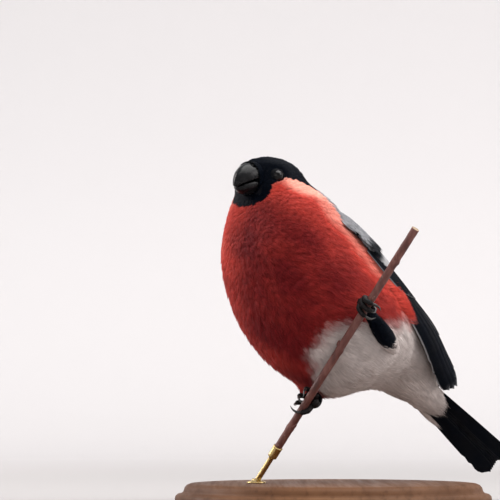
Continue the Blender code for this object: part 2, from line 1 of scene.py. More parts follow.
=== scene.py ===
"""The looks of a still, life-size male Eurasian bullfinch on a cut twig: skin, plumage, bill, feet, stand and light.

Sizes are in millimetres in three frames, as in the solids: the world, the body's frame (left, back, up its long
axis) and the head's frame (left, nape, crown). MM turns them to metres where a mesh is made.
"""

import json
import math

import bpy
import numpy as np
from mathutils import Matrix, Quaternion, Vector
from mathutils.bvhtree import BVHTree

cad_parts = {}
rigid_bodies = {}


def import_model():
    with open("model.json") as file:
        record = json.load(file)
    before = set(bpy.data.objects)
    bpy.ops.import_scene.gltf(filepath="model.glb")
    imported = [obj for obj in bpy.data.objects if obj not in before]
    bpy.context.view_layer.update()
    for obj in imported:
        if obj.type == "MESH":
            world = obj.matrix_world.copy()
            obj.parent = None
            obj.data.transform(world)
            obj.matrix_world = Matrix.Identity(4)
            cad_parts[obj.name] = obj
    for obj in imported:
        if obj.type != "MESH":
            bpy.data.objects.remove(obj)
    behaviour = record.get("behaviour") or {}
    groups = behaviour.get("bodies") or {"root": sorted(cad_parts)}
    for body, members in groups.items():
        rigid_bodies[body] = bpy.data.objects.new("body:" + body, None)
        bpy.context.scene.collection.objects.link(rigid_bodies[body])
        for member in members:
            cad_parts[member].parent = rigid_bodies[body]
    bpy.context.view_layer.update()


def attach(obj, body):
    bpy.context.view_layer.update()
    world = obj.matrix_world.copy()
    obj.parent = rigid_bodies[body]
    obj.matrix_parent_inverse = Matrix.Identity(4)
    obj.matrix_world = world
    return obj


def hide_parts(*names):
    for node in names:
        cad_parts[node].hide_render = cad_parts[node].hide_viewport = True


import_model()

MM = 0.001
UP = np.array((0.0, 0.0, 1.0))
DRAW = np.random.default_rng(11)

# Stance
LEAN_SIDEWAYS = math.radians(45)
LEAN_TO_VIEWER = math.radians(19)
ROLL = math.radians(35)
HEAD_TURN = math.radians(35)
BODY_AT = np.array((-3.9, 6.0, 78.5))
HEAD_AT = np.array((10.0, 11.4, 47.1))

# Body sections: place, its point (left, back, up), half width, depth behind and before, share of the head's turn
TRUNK = (
    (-60, 0.0, 7.2, -60.0, 3.8, 1.2, 2.2, 0.0),
    (-54, 0.8, 6.8, -54.0, 7.6, 2.4, 4.8, 0.0),
    (-47, 1.0, 6.3, -47.0, 11.4, 4.4, 8.6, 0.0),
    (-40, 0.8, 5.0, -40.0, 15.4, 7.5, 12.0, 0.0),
    (-33, 0.0, 3.0, -33.0, 20.0, 10.5, 19.5, 0.0),
    (-24, 0.0, 0.5, -24.0, 24.0, 14.0, 31.5, 0.0),
    (-10, 0.0, -1.5, -10.0, 26.5, 17.5, 34.5, 0.0),
    (4, 0.0, -2.0, 4.0, 28.0, 21.5, 35.0, 0.0),
    (18, 1.4, -1.0, 18.0, 26.8, 23.1, 30.2, 0.25),
    (29, 4.4, 2.5, 28.7, 24.2, 22.5, 24.0, 0.65),
)
HEAD = (
    (-9, 3.0, 5.0, 19.5, 23.0, 18.0),
    (-4, 1.5, 4.5, 15.3, 20.5, 15.5),
    (1, 0.0, 3.5, 12.6, 16.8, 14.2),
    (5, 0.0, 3.0, 10.6, 13.5, 12.6),
    (8, 0.0, 2.0, 7.6, 9.8, 9.4),
    (9.5, 0.0, 1.2, 4.2, 5.4, 5.2),
    (10.1, 0.0, 0.8, 0.6, 0.8, 0.8),
)
HEAD_START = 49
SECTION_POWER = 2.2
SKIN_ENDS = (-59.0, 58.9)

# How deep the coat is over the skin, and how long its feathers are, by place
COAT_DEPTH = ((-60, 0.7), (-48, 1.3), (-40, 2.0), (-20, 2.5), (20, 2.5), (36, 1.9), (44, 1.1), (50, 0.8), (59, 0.7))
COAT_LENGTH = ((-60, 11), (-40, 12), (-24, 10.5), (0, 8.6), (20, 7.4), (34, 5.6), (43, 3.7), (50, 2.9), (59, 2.6))
TUFT_BARBS = 9

EYE_RADIUS = 2.6
EYE_AT = np.array((8.3, -4.3, 2.2))
EYE_LOOK = np.array((0.88, -0.42, 0.12)) / np.linalg.norm((0.88, -0.42, 0.12))
BILL_BASE = np.array((0.0, -9.5, 1.2))

BILL_UPPER = (
    (8.5, 7.4, 1.0, 5.2),
    (12.0, 7.0, 0.45, 4.8),
    (15.0, 5.6, -0.4, 3.9),
    (17.5, 3.6, -1.35, 2.6),
    (19.2, 1.2, -2.2, 1.3),
    (19.9, -0.5, -2.3, 0.5),
)
BILL_LOWER = (
    (8.5, 0.7, -4.6, 4.9),
    (12.0, 0.15, -4.9, 4.5),
    (15.0, -0.75, -4.8, 3.5),
    (17.2, -1.8, -4.1, 2.2),
    (18.3, -2.4, -3.6, 0.9),
)

# Folded wings: the sheet that each follows (place, half width, middle's height, arch), and their feathers
WING_FRONT = (
    (24, 27.0, 1.0, 24.5),
    (10, 28.6, -1.5, 24.5),
    (-10, 27.3, -1.0, 19.5),
)
WING_SHEETS = {
    1: ((-66, 12.0, 6.2, 7.8), (-52, 17.2, 4.8, 10.6), (-40, 21.6, 3.6, 13.4), (-25, 24.9, 1.0, 16.3)) + WING_FRONT,
    -1: ((-66, 8.4, 8.0, 5.6), (-52, 11.5, 6.0, 8.2), (-40, 16.5, 4.0, 12.0), (-25, 23.5, 1.0, 16.0)) + WING_FRONT,
}
LOWEST_PRIMARY = {1: -33, -1: 36}
QUILL = ((0, 1.4), (0.12, 2.6), (0.45, 4.0), (0.82, 4.1), (0.93, 3.7), (0.975, 2.9), (0.992, 1.8), (1, 0.6))
COVERT = ((0, 1.6), (0.4, 3.5), (0.75, 3.7), (0.9, 3.0), (0.98, 1.5), (1, 0.4))
SMALL_COVERT = ((0, 1.4), (0.4, 3.0), (0.75, 3.3), (0.9, 2.6), (0.98, 1.3), (1, 0.4))
# name, count, root low and high, tip low and high as (place, angle, lift), outline, pale edge, pale tip, grey
WING_TIERS = (
    ("primary", 9, (-2, 13, 0.3), (-2, 42, 0.9), (-60, None, 0.8), (-53, 62, 2.3), QUILL, 0.85, 0, 0),
    ("primary_covert", 7, (6, 5, 0.7), (5, 17, 1.0), (-20, 9, 1.2), (-25, 23, 1.7), SMALL_COVERT, 0.5, 0, 0),
    ("secondary", 9, (0, 24, 1.0), (0, 58, 1.4), (-44, 27, 1.9), (-39, 61, 3.0), QUILL, 0.25, 0, 0),
    ("tertial", 3, (4, 63, 1.5), (6, 74, 1.7), (-37, 65, 3.4), (-28, 75, 3.9), QUILL, 0.3, 0, 0),
    ("greater_covert", 14, (8, 12, 1.2), (8, 70, 1.6), (-7, 15, 1.7), (-10, 67, 3.0), SMALL_COVERT, 0.1, 1, 0),
    ("median_covert", 16, (12, 10, 1.1), (13, 70, 1.5), (2.5, 13, 1.5), (1.5, 68, 2.4), SMALL_COVERT, 0, 0, 1),
)
LONGEST_PRIMARY = 2.0
PRIMARY_POINT = 5.0
VANE_ROWS = 24
VANE_COLUMNS = np.array((-1, -0.8, -0.5, -0.12, 0, 0.12, 0.5, 0.8, 1))

TAIL_LEVEL = (7.0, 9.8)
TAIL_FEATHERS = 12
TAIL_ROOT_AT = -48
TAIL_TIP = -103.5
TAIL_SPACING = (0.5, 0.9)
TAIL_STEP = 0.36
TAIL_NOTCH = 0.35
TAIL_VANE = ((0, 1.2), (0.3, 2.6), (0.6, 3.2), (0.9, 3.6), (0.965, 3.2), (0.99, 2.1), (1, 0.6))

ANKLES = {"left": (21.0, -21.5, -21.5), "right": (-18.0, -26.0, -22.0)}
TARSUS_RADIUS = 1.05
TOE_RADIUS = 0.8
PALM_RADIUS = 1.8
HEEL_LENGTH = 4.4
TWIG_LOW = np.array((-22.6, -8.3, 19.0))
TWIG_HIGH = np.array((28.5, -47.0, 101.0))
TWIG_RADIUS = 1.5
GAP = 0.3
# Feet: place on the twig, turn of the palm, and toes as (shift from, shift to, sweep, reach, radius)
FEET = {
    "left": (0.66, 225, (
        (-0.4, -2.4, 165, 0.4, 0.92), (1.0, 0.3, 190, 0.5, 0.98), (2.4, 3.2, 165, 0.4, 0.92), (0.4, 1.2, -110, 0.4, 0.98),
    )),
    "right": (0.246, 120, (
        (2.4, 3.4, 150, 0.5, 0.92), (0.0, -0.2, 165, 1.2, 0.98), (-2.2, -3.4, 145, 0.6, 0.92),
        (-1.6, -4.6, -120, 0.5, 0.98),
    )),
}


# Frames

def unit(vectors):
    return vectors / np.maximum(np.linalg.norm(vectors, axis=-1, keepdims=True), 1e-9)


def body_axes():
    """The body's left, back and long axis in the world, as columns."""
    flat = math.cos(LEAN_TO_VIEWER)
    along = Vector(
        (-math.sin(LEAN_SIDEWAYS) * flat, -math.sin(LEAN_TO_VIEWER), math.cos(LEAN_SIDEWAYS) * flat)
    )
    to_viewer = Vector((0, -1, 0))
    to_viewer -= along * along.dot(to_viewer)
    front = Quaternion(along, -ROLL) @ to_viewer.normalized()
    return Matrix((along.cross(front), -front, along)).transposed()


def head_axes(body):
    """The head's left, nape and crown in the body's frame, as columns."""
    bill = Vector((-math.sin(HEAD_TURN), -math.cos(HEAD_TURN), 0))
    return body.transposed() @ Matrix((Vector(UP).cross(bill), -bill, Vector(UP))).transposed()


BODY_MATRIX = body_axes()
HEAD_MATRIX = head_axes(BODY_MATRIX)
BODY = np.array(BODY_MATRIX)
HEAD_AXES = np.array(HEAD_MATRIX)
TURN_AXIS, TURN_ANGLE = HEAD_MATRIX.to_quaternion().to_axis_angle()
TURN_AXIS = np.array(TURN_AXIS)


def from_body(points):
    return BODY_AT + np.asarray(points, float) @ BODY.T


def from_head(points):
    return from_body(HEAD_AT + np.asarray(points, float) @ HEAD_AXES.T)


def in_body(points):
    return (np.asarray(points) - BODY_AT) @ BODY


def in_head(points):
    return (in_body(points) - HEAD_AT) @ HEAD_AXES


def smooth(low, high, value):
    """0 below low, 1 above high and a smooth step between; low may be the larger."""
    share = np.clip((value - low) / (high - low), 0, 1)
    return share * share * (3 - 2 * share)


def steps(table, value):
    """A table of (value, result), read between its rows."""
    return np.interp(value, [row[0] for row in table], [row[1] for row in table])


def body_rows():
    rows = [tuple(row) for row in TRUNK]
    for height, left, back, width, behind, before in HEAD:
        middle = HEAD_AT + HEAD_AXES @ np.array((left, back, height))
        rows.append((HEAD_START + height, *middle, width, behind, before, 1.0))
    return np.array(sorted(rows), float)


ROWS = body_rows()


def between(table, places):
    """Rows at many places of a table, on a smooth curve through its rows."""
    places = np.asarray(places, float)
    known = table[:, 0]
    slopes = np.gradient(table, known, axis=0)
    i = np.clip(np.searchsorted(known, places) - 1, 0, len(known) - 2)
    step = (known[i + 1] - known[i])[..., None]
    u = (places - known[i])[..., None] / step
    near = (2 * u**3 - 3 * u**2 + 1) * table[i] + (u**3 - 2 * u**2 + u) * step * slopes[i]
    far = (3 * u**2 - 2 * u**3) * table[i + 1] + (u**3 - u**2) * step * slopes[i + 1]
    return near + far


def rounded(angle, power=SECTION_POWER):
    c, s = np.cos(angle), np.sin(angle)
    return np.sign(c) * np.abs(c) ** (2 / power), np.sign(s) * np.abs(s) ** (2 / power)


def surface(place, angle, grow):
    """Points of the body's outline in the world, from its left side round by the back."""
    place, angle, grow = np.broadcast_arrays(place, angle, grow)
    row = between(ROWS, place)
    c, s = rounded(angle)
    width = row[..., 4]
    depth = np.where(s > 0, row[..., 5], row[..., 6])
    least = -0.4 * np.minimum(width, np.minimum(row[..., 5], row[..., 6]))
    grow = np.maximum(grow, least)
    flat = np.stack((c * (width + grow), s * (depth + grow), np.zeros_like(c)), -1)
    turn = (np.clip(row[..., 7], 0, 1) * TURN_ANGLE)[..., None]
    axis = TURN_AXIS
    turned = flat * np.cos(turn) + np.cross(axis, flat) * np.sin(turn)
    turned = turned + axis * (flat @ axis)[..., None] * (1 - np.cos(turn))
    return from_body(row[..., 1:4] + turned)


def wave(points, size, seed):
    """A smooth random value from about -1 to 1 at each point, which changes over about the size."""
    draw = np.random.default_rng(seed)
    total = 0
    for _ in range(5):
        way = unit(draw.normal(size=3)) / size * draw.uniform(1.2, 3.2)
        total = total + np.sin(points @ way + draw.uniform(0, 6.3))
    return total / 3


# Meshes

def piece(name, points, polygons, finish, colours=None, places=None, replaces=(), flat=False):
    """A mesh piece that rides with the part; polygons is a list of index arrays, one for each count of sides."""
    mesh = bpy.data.meshes.new(name)
    corners = np.concatenate([shape.ravel() for shape in polygons]).astype(np.int32)
    sizes = np.concatenate([np.full(len(shape), shape.shape[1]) for shape in polygons])
    mesh.vertices.add(len(points))
    mesh.vertices.foreach_set("co", (np.asarray(points) * MM).astype(np.float32).ravel())
    mesh.loops.add(len(corners))
    mesh.loops.foreach_set("vertex_index", corners)
    mesh.polygons.add(len(sizes))
    mesh.polygons.foreach_set("loop_start", (np.cumsum(sizes) - sizes).astype(np.int32))
    mesh.update(calc_edges=True)
    for key, values in (colours or {}).items():
        layer = mesh.attributes.new(key, "FLOAT_COLOR", "POINT")
        layer.data.foreach_set("color", np.ascontiguousarray(values, np.float32).ravel())
    if places is not None:
        layer = mesh.uv_layers.new(name="OFBake")
        layer.uv.foreach_set("vector", np.ascontiguousarray(places[corners], np.float32).ravel())
    if not flat:
        mesh.shade_smooth()
    mesh.materials.append(finish)
    made = bpy.data.objects.new(name, mesh)
    bpy.context.scene.collection.objects.link(made)
    return dressed(made, replaces)


def dressed(made, replaces=()):
    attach(made, "root")
    if replaces:
        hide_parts(*replaces)
    return made


def ring_faces(rows, around, first=0, closed=True):
    """Quads between rings of points."""
    i, j = np.meshgrid(np.arange(rows - 1), np.arange(around if closed else around - 1), indexing="ij")
    i, j = i.ravel(), j.ravel()
    k = (j + 1) % around
    return first + np.stack((i * around + j, i * around + k, (i + 1) * around + k, (i + 1) * around + j), 1)


def cap_faces(around, first, last):
    """Fans of triangles that close both ends of rings; first and last are their middle points' indices."""
    j = np.arange(around)
    k = (j + 1) % around
    start = np.stack((k, j, np.full(around, first)), 1)
    return start, np.stack((j, k, np.full(around, last)), 1)


def loft_points(rings):
    """Points and faces of a closed form through rings, its ends closed by fans."""
    rings = np.asarray(rings, float)
    rows, around = rings.shape[:2]
    points = rings.reshape(-1, 3)
    count = len(points)
    points = np.vstack((points, rings[0].mean(0), rings[-1].mean(0)))
    near, far = cap_faces(around, count, count + 1)
    far[:, :2] += (rows - 1) * around
    return points, [ring_faces(rows, around), np.vstack((near, far))]


def curve_through(points, count):
    """Even steps along a smooth curve through points."""
    points = np.asarray(points, float)
    known = np.concatenate(((0,), np.cumsum(np.linalg.norm(np.diff(points, axis=0), axis=1))))
    table = np.column_stack((known, points))
    return between(table, np.linspace(0, known[-1], count))[:, 1:4]


def tube_rings(points, radii, around, start=UP):
    """Rings of given radii square to a line of points."""
    points = np.asarray(points, float)
    ways = unit(np.gradient(points, axis=0))
    side = unit(np.cross(ways[0], start + 1e-3))
    rings = []
    turn = np.linspace(0, 2 * np.pi, around, endpoint=False)
    for point, way, radius in zip(points, ways, np.asarray(radii, float)):
        side = unit(side - way * (side @ way))
        over = np.cross(way, side)
        radius = np.broadcast_to(radius, around)[:, None]
        rings.append(point + (np.cos(turn)[:, None] * side + np.sin(turn)[:, None] * over) * radius)
    return np.array(rings)


# Finishes

class Finish:
    """A Principled material and short ways to put nodes before it."""

    def __init__(self, name, **fixed):
        self.material = bpy.data.materials.new(name)
        self.material.use_nodes = True
        self.tree = self.material.node_tree
        self.shader = self.tree.nodes["Principled BSDF"]
        for key, value in fixed.items():
            self.shader.inputs[key.replace("_", " ")].default_value = value

    def put(self, socket, value):
        if hasattr(value, "links"):
            self.tree.links.new(value, socket)
        elif value is not None:
            count = getattr(socket.default_value, "__len__", lambda: 0)()
            socket.default_value = (*value, 1)[:count] if count and len(value) < count else value

    def node(self, kind, inputs=(), **options):
        made = self.tree.nodes.new(kind)
        for key, value in options.items():
            setattr(made, key, value)
        for key, value in dict(inputs).items():
            self.put(made.inputs[key], value)
        return made

    def attribute(self, name):
        """Red, green, blue and alpha of a stored colour."""
        stored = self.node("ShaderNodeAttribute", attribute_name=name)
        parts = self.node("ShaderNodeSeparateColor", {0: stored.outputs["Color"]})
        return parts.outputs[0], parts.outputs[1], parts.outputs[2], stored.outputs["Alpha"]

    def math(self, operation, a, b=None, clamp=False):
        return self.node("ShaderNodeMath", {0: a, 1: b}, operation=operation, use_clamp=clamp).outputs[0]

    def mix(self, share, a, b, kind="MIX"):
        made = self.node("ShaderNodeMix", data_type="RGBA", blend_type=kind)
        self.put(made.inputs[0], share)
        self.put(made.inputs[6], a)
        self.put(made.inputs[7], b)
        return made.outputs[2]

    def ranged(self, value, low, high, to_low=0.0, to_high=1.0):
        inputs = {0: value, 1: low, 2: high, 3: to_low, 4: to_high}
        return self.node("ShaderNodeMapRange", inputs, interpolation_type="SMOOTHSTEP").outputs[0]

    def place(self, stretch=(1, 1, 1), turn=(0, 0, 0)):
        where = self.node("ShaderNodeTexCoord").outputs["Object"]
        return self.node("ShaderNodeMapping", {0: where, 2: turn, 3: stretch}).outputs[0]

    def noise(self, scale, detail=3.0, stretch=(1, 1, 1), turn=(0, 0, 0), rough=0.55):
        inputs = {"Vector": self.place(stretch, turn), "Scale": scale, "Detail": detail, "Roughness": rough}
        return self.node("ShaderNodeTexNoise", inputs).outputs[0]

    def ramp(self, value, stops):
        made = self.node("ShaderNodeValToRGB", {0: value})
        ramp = made.color_ramp
        while len(ramp.elements) < len(stops):
            ramp.elements.new(0.5)
        for element, (at, colour) in zip(ramp.elements, stops):
            element.position = at
            element.color = (*colour, 1)
        return made.outputs[0]

    def bump(self, height, distance, strength=1.0):
        made = self.node("ShaderNodeBump", {"Strength": strength, "Distance": distance, "Height": height})
        self.put(self.shader.inputs["Normal"], made.outputs[0])

    def done(self, colour=None, roughness=None):
        if colour is not None:
            self.put(self.shader.inputs["Base Color"], colour)
        if roughness is not None:
            self.put(self.shader.inputs["Roughness"], roughness)
        return self.material


# The red ramp's pale end stands for painted sheen and its deep end for painted shade; the middle red is the feathers'
# own colour.
SHEEN_PALE_RED = (0.9, 0.38, 0.29)
RED = (0.52, 0.045, 0.03)
SHADE_DEEP_RED = (0.15, 0.006, 0.0075)
WHITE_DOWN = (0.63, 0.565, 0.54)
ASH_GREY = (0.25, 0.255, 0.27)
BLUE_BLACK = (0.0022, 0.0035, 0.0068)
DOWN_GREY = (0.07, 0.045, 0.045)


def markings_colour(finish):
    """The plumage's colours from its stored zones, and the share of black."""
    black, white, grey, tone = finish.attribute("zones")
    cloud = finish.noise(70, 4)
    fine = finish.noise(600, 3)
    # The stored tone carries painted sheen and painted shade; the cloud noise adds random tone.
    tone = finish.math("ADD", tone, finish.ranged(cloud, 0.25, 0.75, -0.09, 0.09))
    red = finish.ramp(tone, ((0.0, SHADE_DEEP_RED), (0.5, RED), (1.0, SHEEN_PALE_RED)))
    down = finish.mix(finish.ranged(cloud, 0.3, 0.7), WHITE_DOWN, (0.52, 0.455, 0.43))
    ash = finish.mix(finish.ranged(cloud, 0.3, 0.7), ASH_GREY, (0.2, 0.2, 0.215))
    colour = finish.mix(grey, red, ash)
    colour = finish.mix(white, colour, down)
    # Fine specks up to a tenth darker: painted shade of the gaps between feathers.
    colour = finish.mix(finish.ranged(fine, 0.2, 0.8, 0.0, 0.1), colour, (0.03, 0.012, 0.012))
    return finish.mix(black, colour, BLUE_BLACK), black


def skin_finish():
    finish = Finish("plumage ground", Specular_IOR_Level=0.05)
    colour, black = markings_colour(finish)
    finish.bump(finish.noise(1400, 2), 0.0002, 0.5)
    # The ground under the feathers is painted 30% darker: painted shade between the feathers.
    return finish.done(finish.mix(0.3, colour, (0.01, 0.008, 0.008)), finish.ranged(black, 0, 1, 0.9, 0.6))


def coat_finish(name, dark_root, roughness, **fixed):
    """Finish of the small body feathers: their grey down shows at the roots."""
    finish = Finish(name, **fixed)
    colour, _ = markings_colour(finish)
    along, tuft, barb, _ = finish.attribute("tuft")
    value = finish.math("ADD", finish.ranged(tuft, 0, 1, 0.88, 1.12), finish.ranged(barb, 0, 1, -0.08, 0.08))
    shade = finish.node("ShaderNodeCombineColor", {0: value, 1: value, 2: value}).outputs[0]
    colour = finish.mix(1.0, colour, shade, "MULTIPLY")
    root = finish.ranged(along, 0.15, 0.75, dark_root, 0.0)
    colour = finish.mix(root, colour, DOWN_GREY)
    rough = finish.ranged(finish.noise(300, 2), 0.3, 0.7, roughness - 0.05, roughness + 0.05)
    return finish.done(colour, rough)


def vane_finish():
    """Flight feathers, tail and large coverts: blue-black, with pale edges and tips where the stored trim says so."""
    finish = Finish("flight feathers", Specular_IOR_Level=0.03)
    edge, tip, grey, warm = finish.attribute("trim")
    along, across, tone, length = finish.attribute("vane")
    cloud = finish.noise(120, 3)
    dark = finish.mix(finish.ranged(cloud, 0.3, 0.7), BLUE_BLACK, (0.0045, 0.005, 0.007))
    ash = finish.mix(finish.ranged(tone, 0, 1), (0.19, 0.192, 0.203), (0.215, 0.217, 0.229))
    colour = finish.mix(grey, dark, ash)
    colour = finish.mix(tip, colour, (0.33, 0.325, 0.33))
    colour = finish.mix(warm, colour, (0.35, 0.06, 0.04))
    colour = finish.mix(edge, colour, (0.5, 0.5, 0.52))
    sweep = finish.math("SUBTRACT", finish.math("MULTIPLY", length, 100.0), finish.math("MULTIPLY", across, 5.0))
    barbs = finish.math("SINE", finish.math("MULTIPLY", sweep, 16.0))
    finish.bump(barbs, 0.00004, 0.35)
    # The grooves between barbs are painted up to 14% darker, following the bump: painted shade.
    shade = finish.ranged(barbs, -1, 1, 0.86, 1.0)
    grain = finish.node("ShaderNodeCombineColor", {0: shade, 1: shade, 2: shade}).outputs[0]
    colour = finish.mix(1.0, colour, grain, "MULTIPLY")
    rough = finish.ranged(finish.noise(500, 3), 0.3, 0.7, 0.55, 0.66)
    return finish.done(colour, rough)


# Skin

def thigh_lines():
    """The middle line of each thigh, from inside the belly to the ankle."""
    lines = {}
    for side, ankle in ANKLES.items():
        ankle = np.array(ankle)
        knee = from_body(ankle)
        deep = from_body(ankle * 0.62 + np.array((0, 0, 2)))
        lines[side] = np.array((deep, knee + (deep - knee) * 0.35, knee + unit(knee - deep)))
    return lines


def markings(points):
    """The plumage's zones at points of the world: black, white, grey and the red's tone, each 0 to 1; the tone holds
    painted sheen and painted shade.
    """
    b, h = in_body(points), in_head(points)
    ragged = wave(points, 1.6, 3) * 0.18
    # The cap: how high its edge is round the head, from the bill's line to the nape
    round_head = np.degrees(np.arctan2(h[..., 0], -h[..., 1]))
    round_head = np.where(round_head < 0, np.interp(-round_head, (0, 60, 90, 180), (0, 36, 77, 180)), round_head)
    edge = np.interp(
        round_head,
        (0, 12, 25, 36, 41, 45, 48, 53, 65, 77, 90, 111, 125, 150, 180),
        (-9.6, -9.3, -8.0, -6.7, -5.4, -3.8, -1.6, -0.4, 0.9, 1.6, 1.5, 0.8, 0.0, -3.0, -5.5),
    )
    black = smooth(-0.35, 0.35, h[..., 2] - edge + ragged)
    black = black * smooth(34, 30, np.linalg.norm(h, axis=-1))
    place = b[..., 2]
    middle = np.interp(place, (4, 18, 29, 45), (0, 1.4, 4.4, 9.0))
    turn = np.degrees(np.arctan2(b[..., 1] + 1, b[..., 0] - middle))
    from_belly = (turn + 90 + 180) % 360 - 180
    vent = np.interp(
        from_belly,
        (-180, -150, -120, -85, -45, -30, -20, -14, -4, 5, 14, 22, 30, 39, 46, 55, 68, 85, 120, 150, 180),
        (-9, -10, -14, -28, -29, -26, -22, -15, -8, -2.6, -1, -1, -3, -5.6, -12, -17.5, -21.6, -26.4, -14, -10, -9),
    )
    white = smooth(-4.4, 4.4, vent - place + wave(points, 3.5, 4) * 1.9)
    from_side = np.where(turn > 90, 180 - turn, turn)
    mantle = np.interp(place, (-10, 2, 12, 18, 24, 29, 33, 38, 45, 51), (10, 8, 13.5, 19, 24, 40, 62, 78, 80, 60))
    grey = smooth(-1.6, 1.6, (from_side - mantle) * 0.42 + wave(points, 2.5, 5) * 0.8)
    # The red's tone: painted sheen makes it pale at the sides of the neck, on the cheeks and along the wing; painted
    # shade makes it deep down the middle of the breast; a small wave varies it at random
    side = smooth(steps(((0, 34), (20, 46), (40, 66)), place), 4, mantle - from_side) * smooth(-34, 12, place)
    # The cheeks below the cap are made paler: painted sheen.
    cheek_sheen = smooth(9, 1.5, edge - h[..., 2]) * smooth(60, 95, round_head) * smooth(34, 26, np.linalg.norm(h, axis=-1))
    # The middle of the breast and belly is made a deeper red: painted shade.
    deep = smooth(95, 25, np.abs(from_belly - 18)) * smooth(56, 43, place)
    tone = 0.49 + 0.4 * side + 0.64 * cheek_sheen - 0.44 * deep + wave(points, 6, 6) * 0.06
    return np.stack((black, white, grey, np.clip(tone, 0, 1)), -1)


def skin_depth(place, points):
    depth = steps(COAT_DEPTH, place)
    from_bill = np.linalg.norm(in_head(points) - BILL_BASE, axis=-1)
    return depth * (0.4 + 0.6 * smooth(5, 13, from_bill))


def build_skin(finish):
    """One closed skin of body, head and thighs, inside the solids by the coat's depth."""
    rows, around = 130, 110
    place = np.linspace(*SKIN_ENDS, rows)[:, None]
    angle = np.linspace(0, 2 * np.pi, around, endpoint=False)[None, :]
    outer = surface(place, angle, 0.0)
    rings = surface(place, angle, -skin_depth(np.broadcast_to(place, outer.shape[:2]), outer))
    for side in (1, -1):
        eye = EYE_AT * (side, 1, 1)
        h = in_head(rings)
        away = np.linalg.norm(h - eye - EYE_LOOK * (side, 1, 1) * 1.0, axis=-1)
        push = 0.7 * smooth(4.4, 2.0, away)
        inward = unit(from_head(eye) - rings)
        rings = rings + inward * push[..., None]
    points, polygons = loft_points(rings)
    u = np.linspace(0, 1, around + 1)
    v = np.linspace(0.02, 0.9, rows)
    body = bpy.data.meshes.new("skin")
    faces = [tuple(int(i) for i in face) for shape in polygons for face in shape]
    body.from_pydata([Vector(point) * MM for point in points], [], faces)
    layer = body.uv_layers.new(name="OFBake")
    for polygon in body.polygons:
        corners = [body.loops[i].vertex_index for i in polygon.loop_indices]
        columns = [c % around for c in corners if c < rows * around]
        wraps = max(columns) - min(columns) > 1
        for i, corner in zip(polygon.loop_indices, corners):
            if corner < rows * around:
                column = corner % around
                column = around if wraps and column == 0 else column
                layer.uv[i].vector = (0.01 + 0.98 * u[column], v[corner // around])
            else:
                layer.uv[i].vector = (0.01 + 0.98 * u[columns[0]], 0.01 if corner == rows * around else 0.91)
    skin = bpy.data.objects.new("skin", body)
    bpy.context.scene.collection.objects.link(skin)
    group = bpy.data.collections.new("thighs")
    bpy.context.scene.collection.children.link(group)
    for k, line in enumerate(thigh_lines().values()):
        stations = curve_through(line, 14)
        radii = np.interp(np.linspace(0, 1, 14), (0, 0.55, 0.85, 1), (5.6, 4.3, 2.0, 1.2))
        rings = tube_rings(stations, radii, 24)
        points, polygons = loft_points(rings)
        mesh = bpy.data.meshes.new("thigh")
        mesh.from_pydata(
            [Vector(point) * MM for point in points], [], [tuple(map(int, f)) for shape in polygons for f in shape]
        )
        layer = mesh.uv_layers.new(name="OFBake")
        for i, loop in enumerate(mesh.loops):
            row, column = divmod(min(loop.vertex_index, 14 * 24 - 1), 24)
            layer.uv[i].vector = (0.03 + 0.5 * k + 0.4 * column / 24, 0.93 + 0.06 * row / 14)
        thigh = bpy.data.objects.new("thigh", mesh)
        group.objects.link(thigh)
    union = skin.modifiers.new("thighs", "BOOLEAN")
    union.operation = "UNION"
    union.operand_type = "COLLECTION"
    union.collection = group
    union.solver = "EXACT"
    graph = bpy.context.evaluated_depsgraph_get()
    joined = bpy.data.meshes.new_from_object(skin.evaluated_get(graph))
    skin.modifiers.clear()
    skin.data = joined
    joined.name = "skin"
    for thigh in list(group.objects):
        bpy.data.objects.remove(thigh)
    bpy.data.collections.remove(group)
    joined.shade_smooth()
    joined.materials.clear()
    joined.materials.append(finish)
    count = len(joined.vertices)
    co = np.empty(count * 3, np.float32)
    joined.vertices.foreach_get("co", co)
    co = co.reshape(-1, 3).astype(float) / MM
    layer = joined.attributes.new("zones", "FLOAT_COLOR", "POINT")
    layer.data.foreach_set("color", markings(co).astype(np.float32).ravel())
    return dressed(skin, ("torso", "neck", "head", "thigh_left", "thigh_right"))


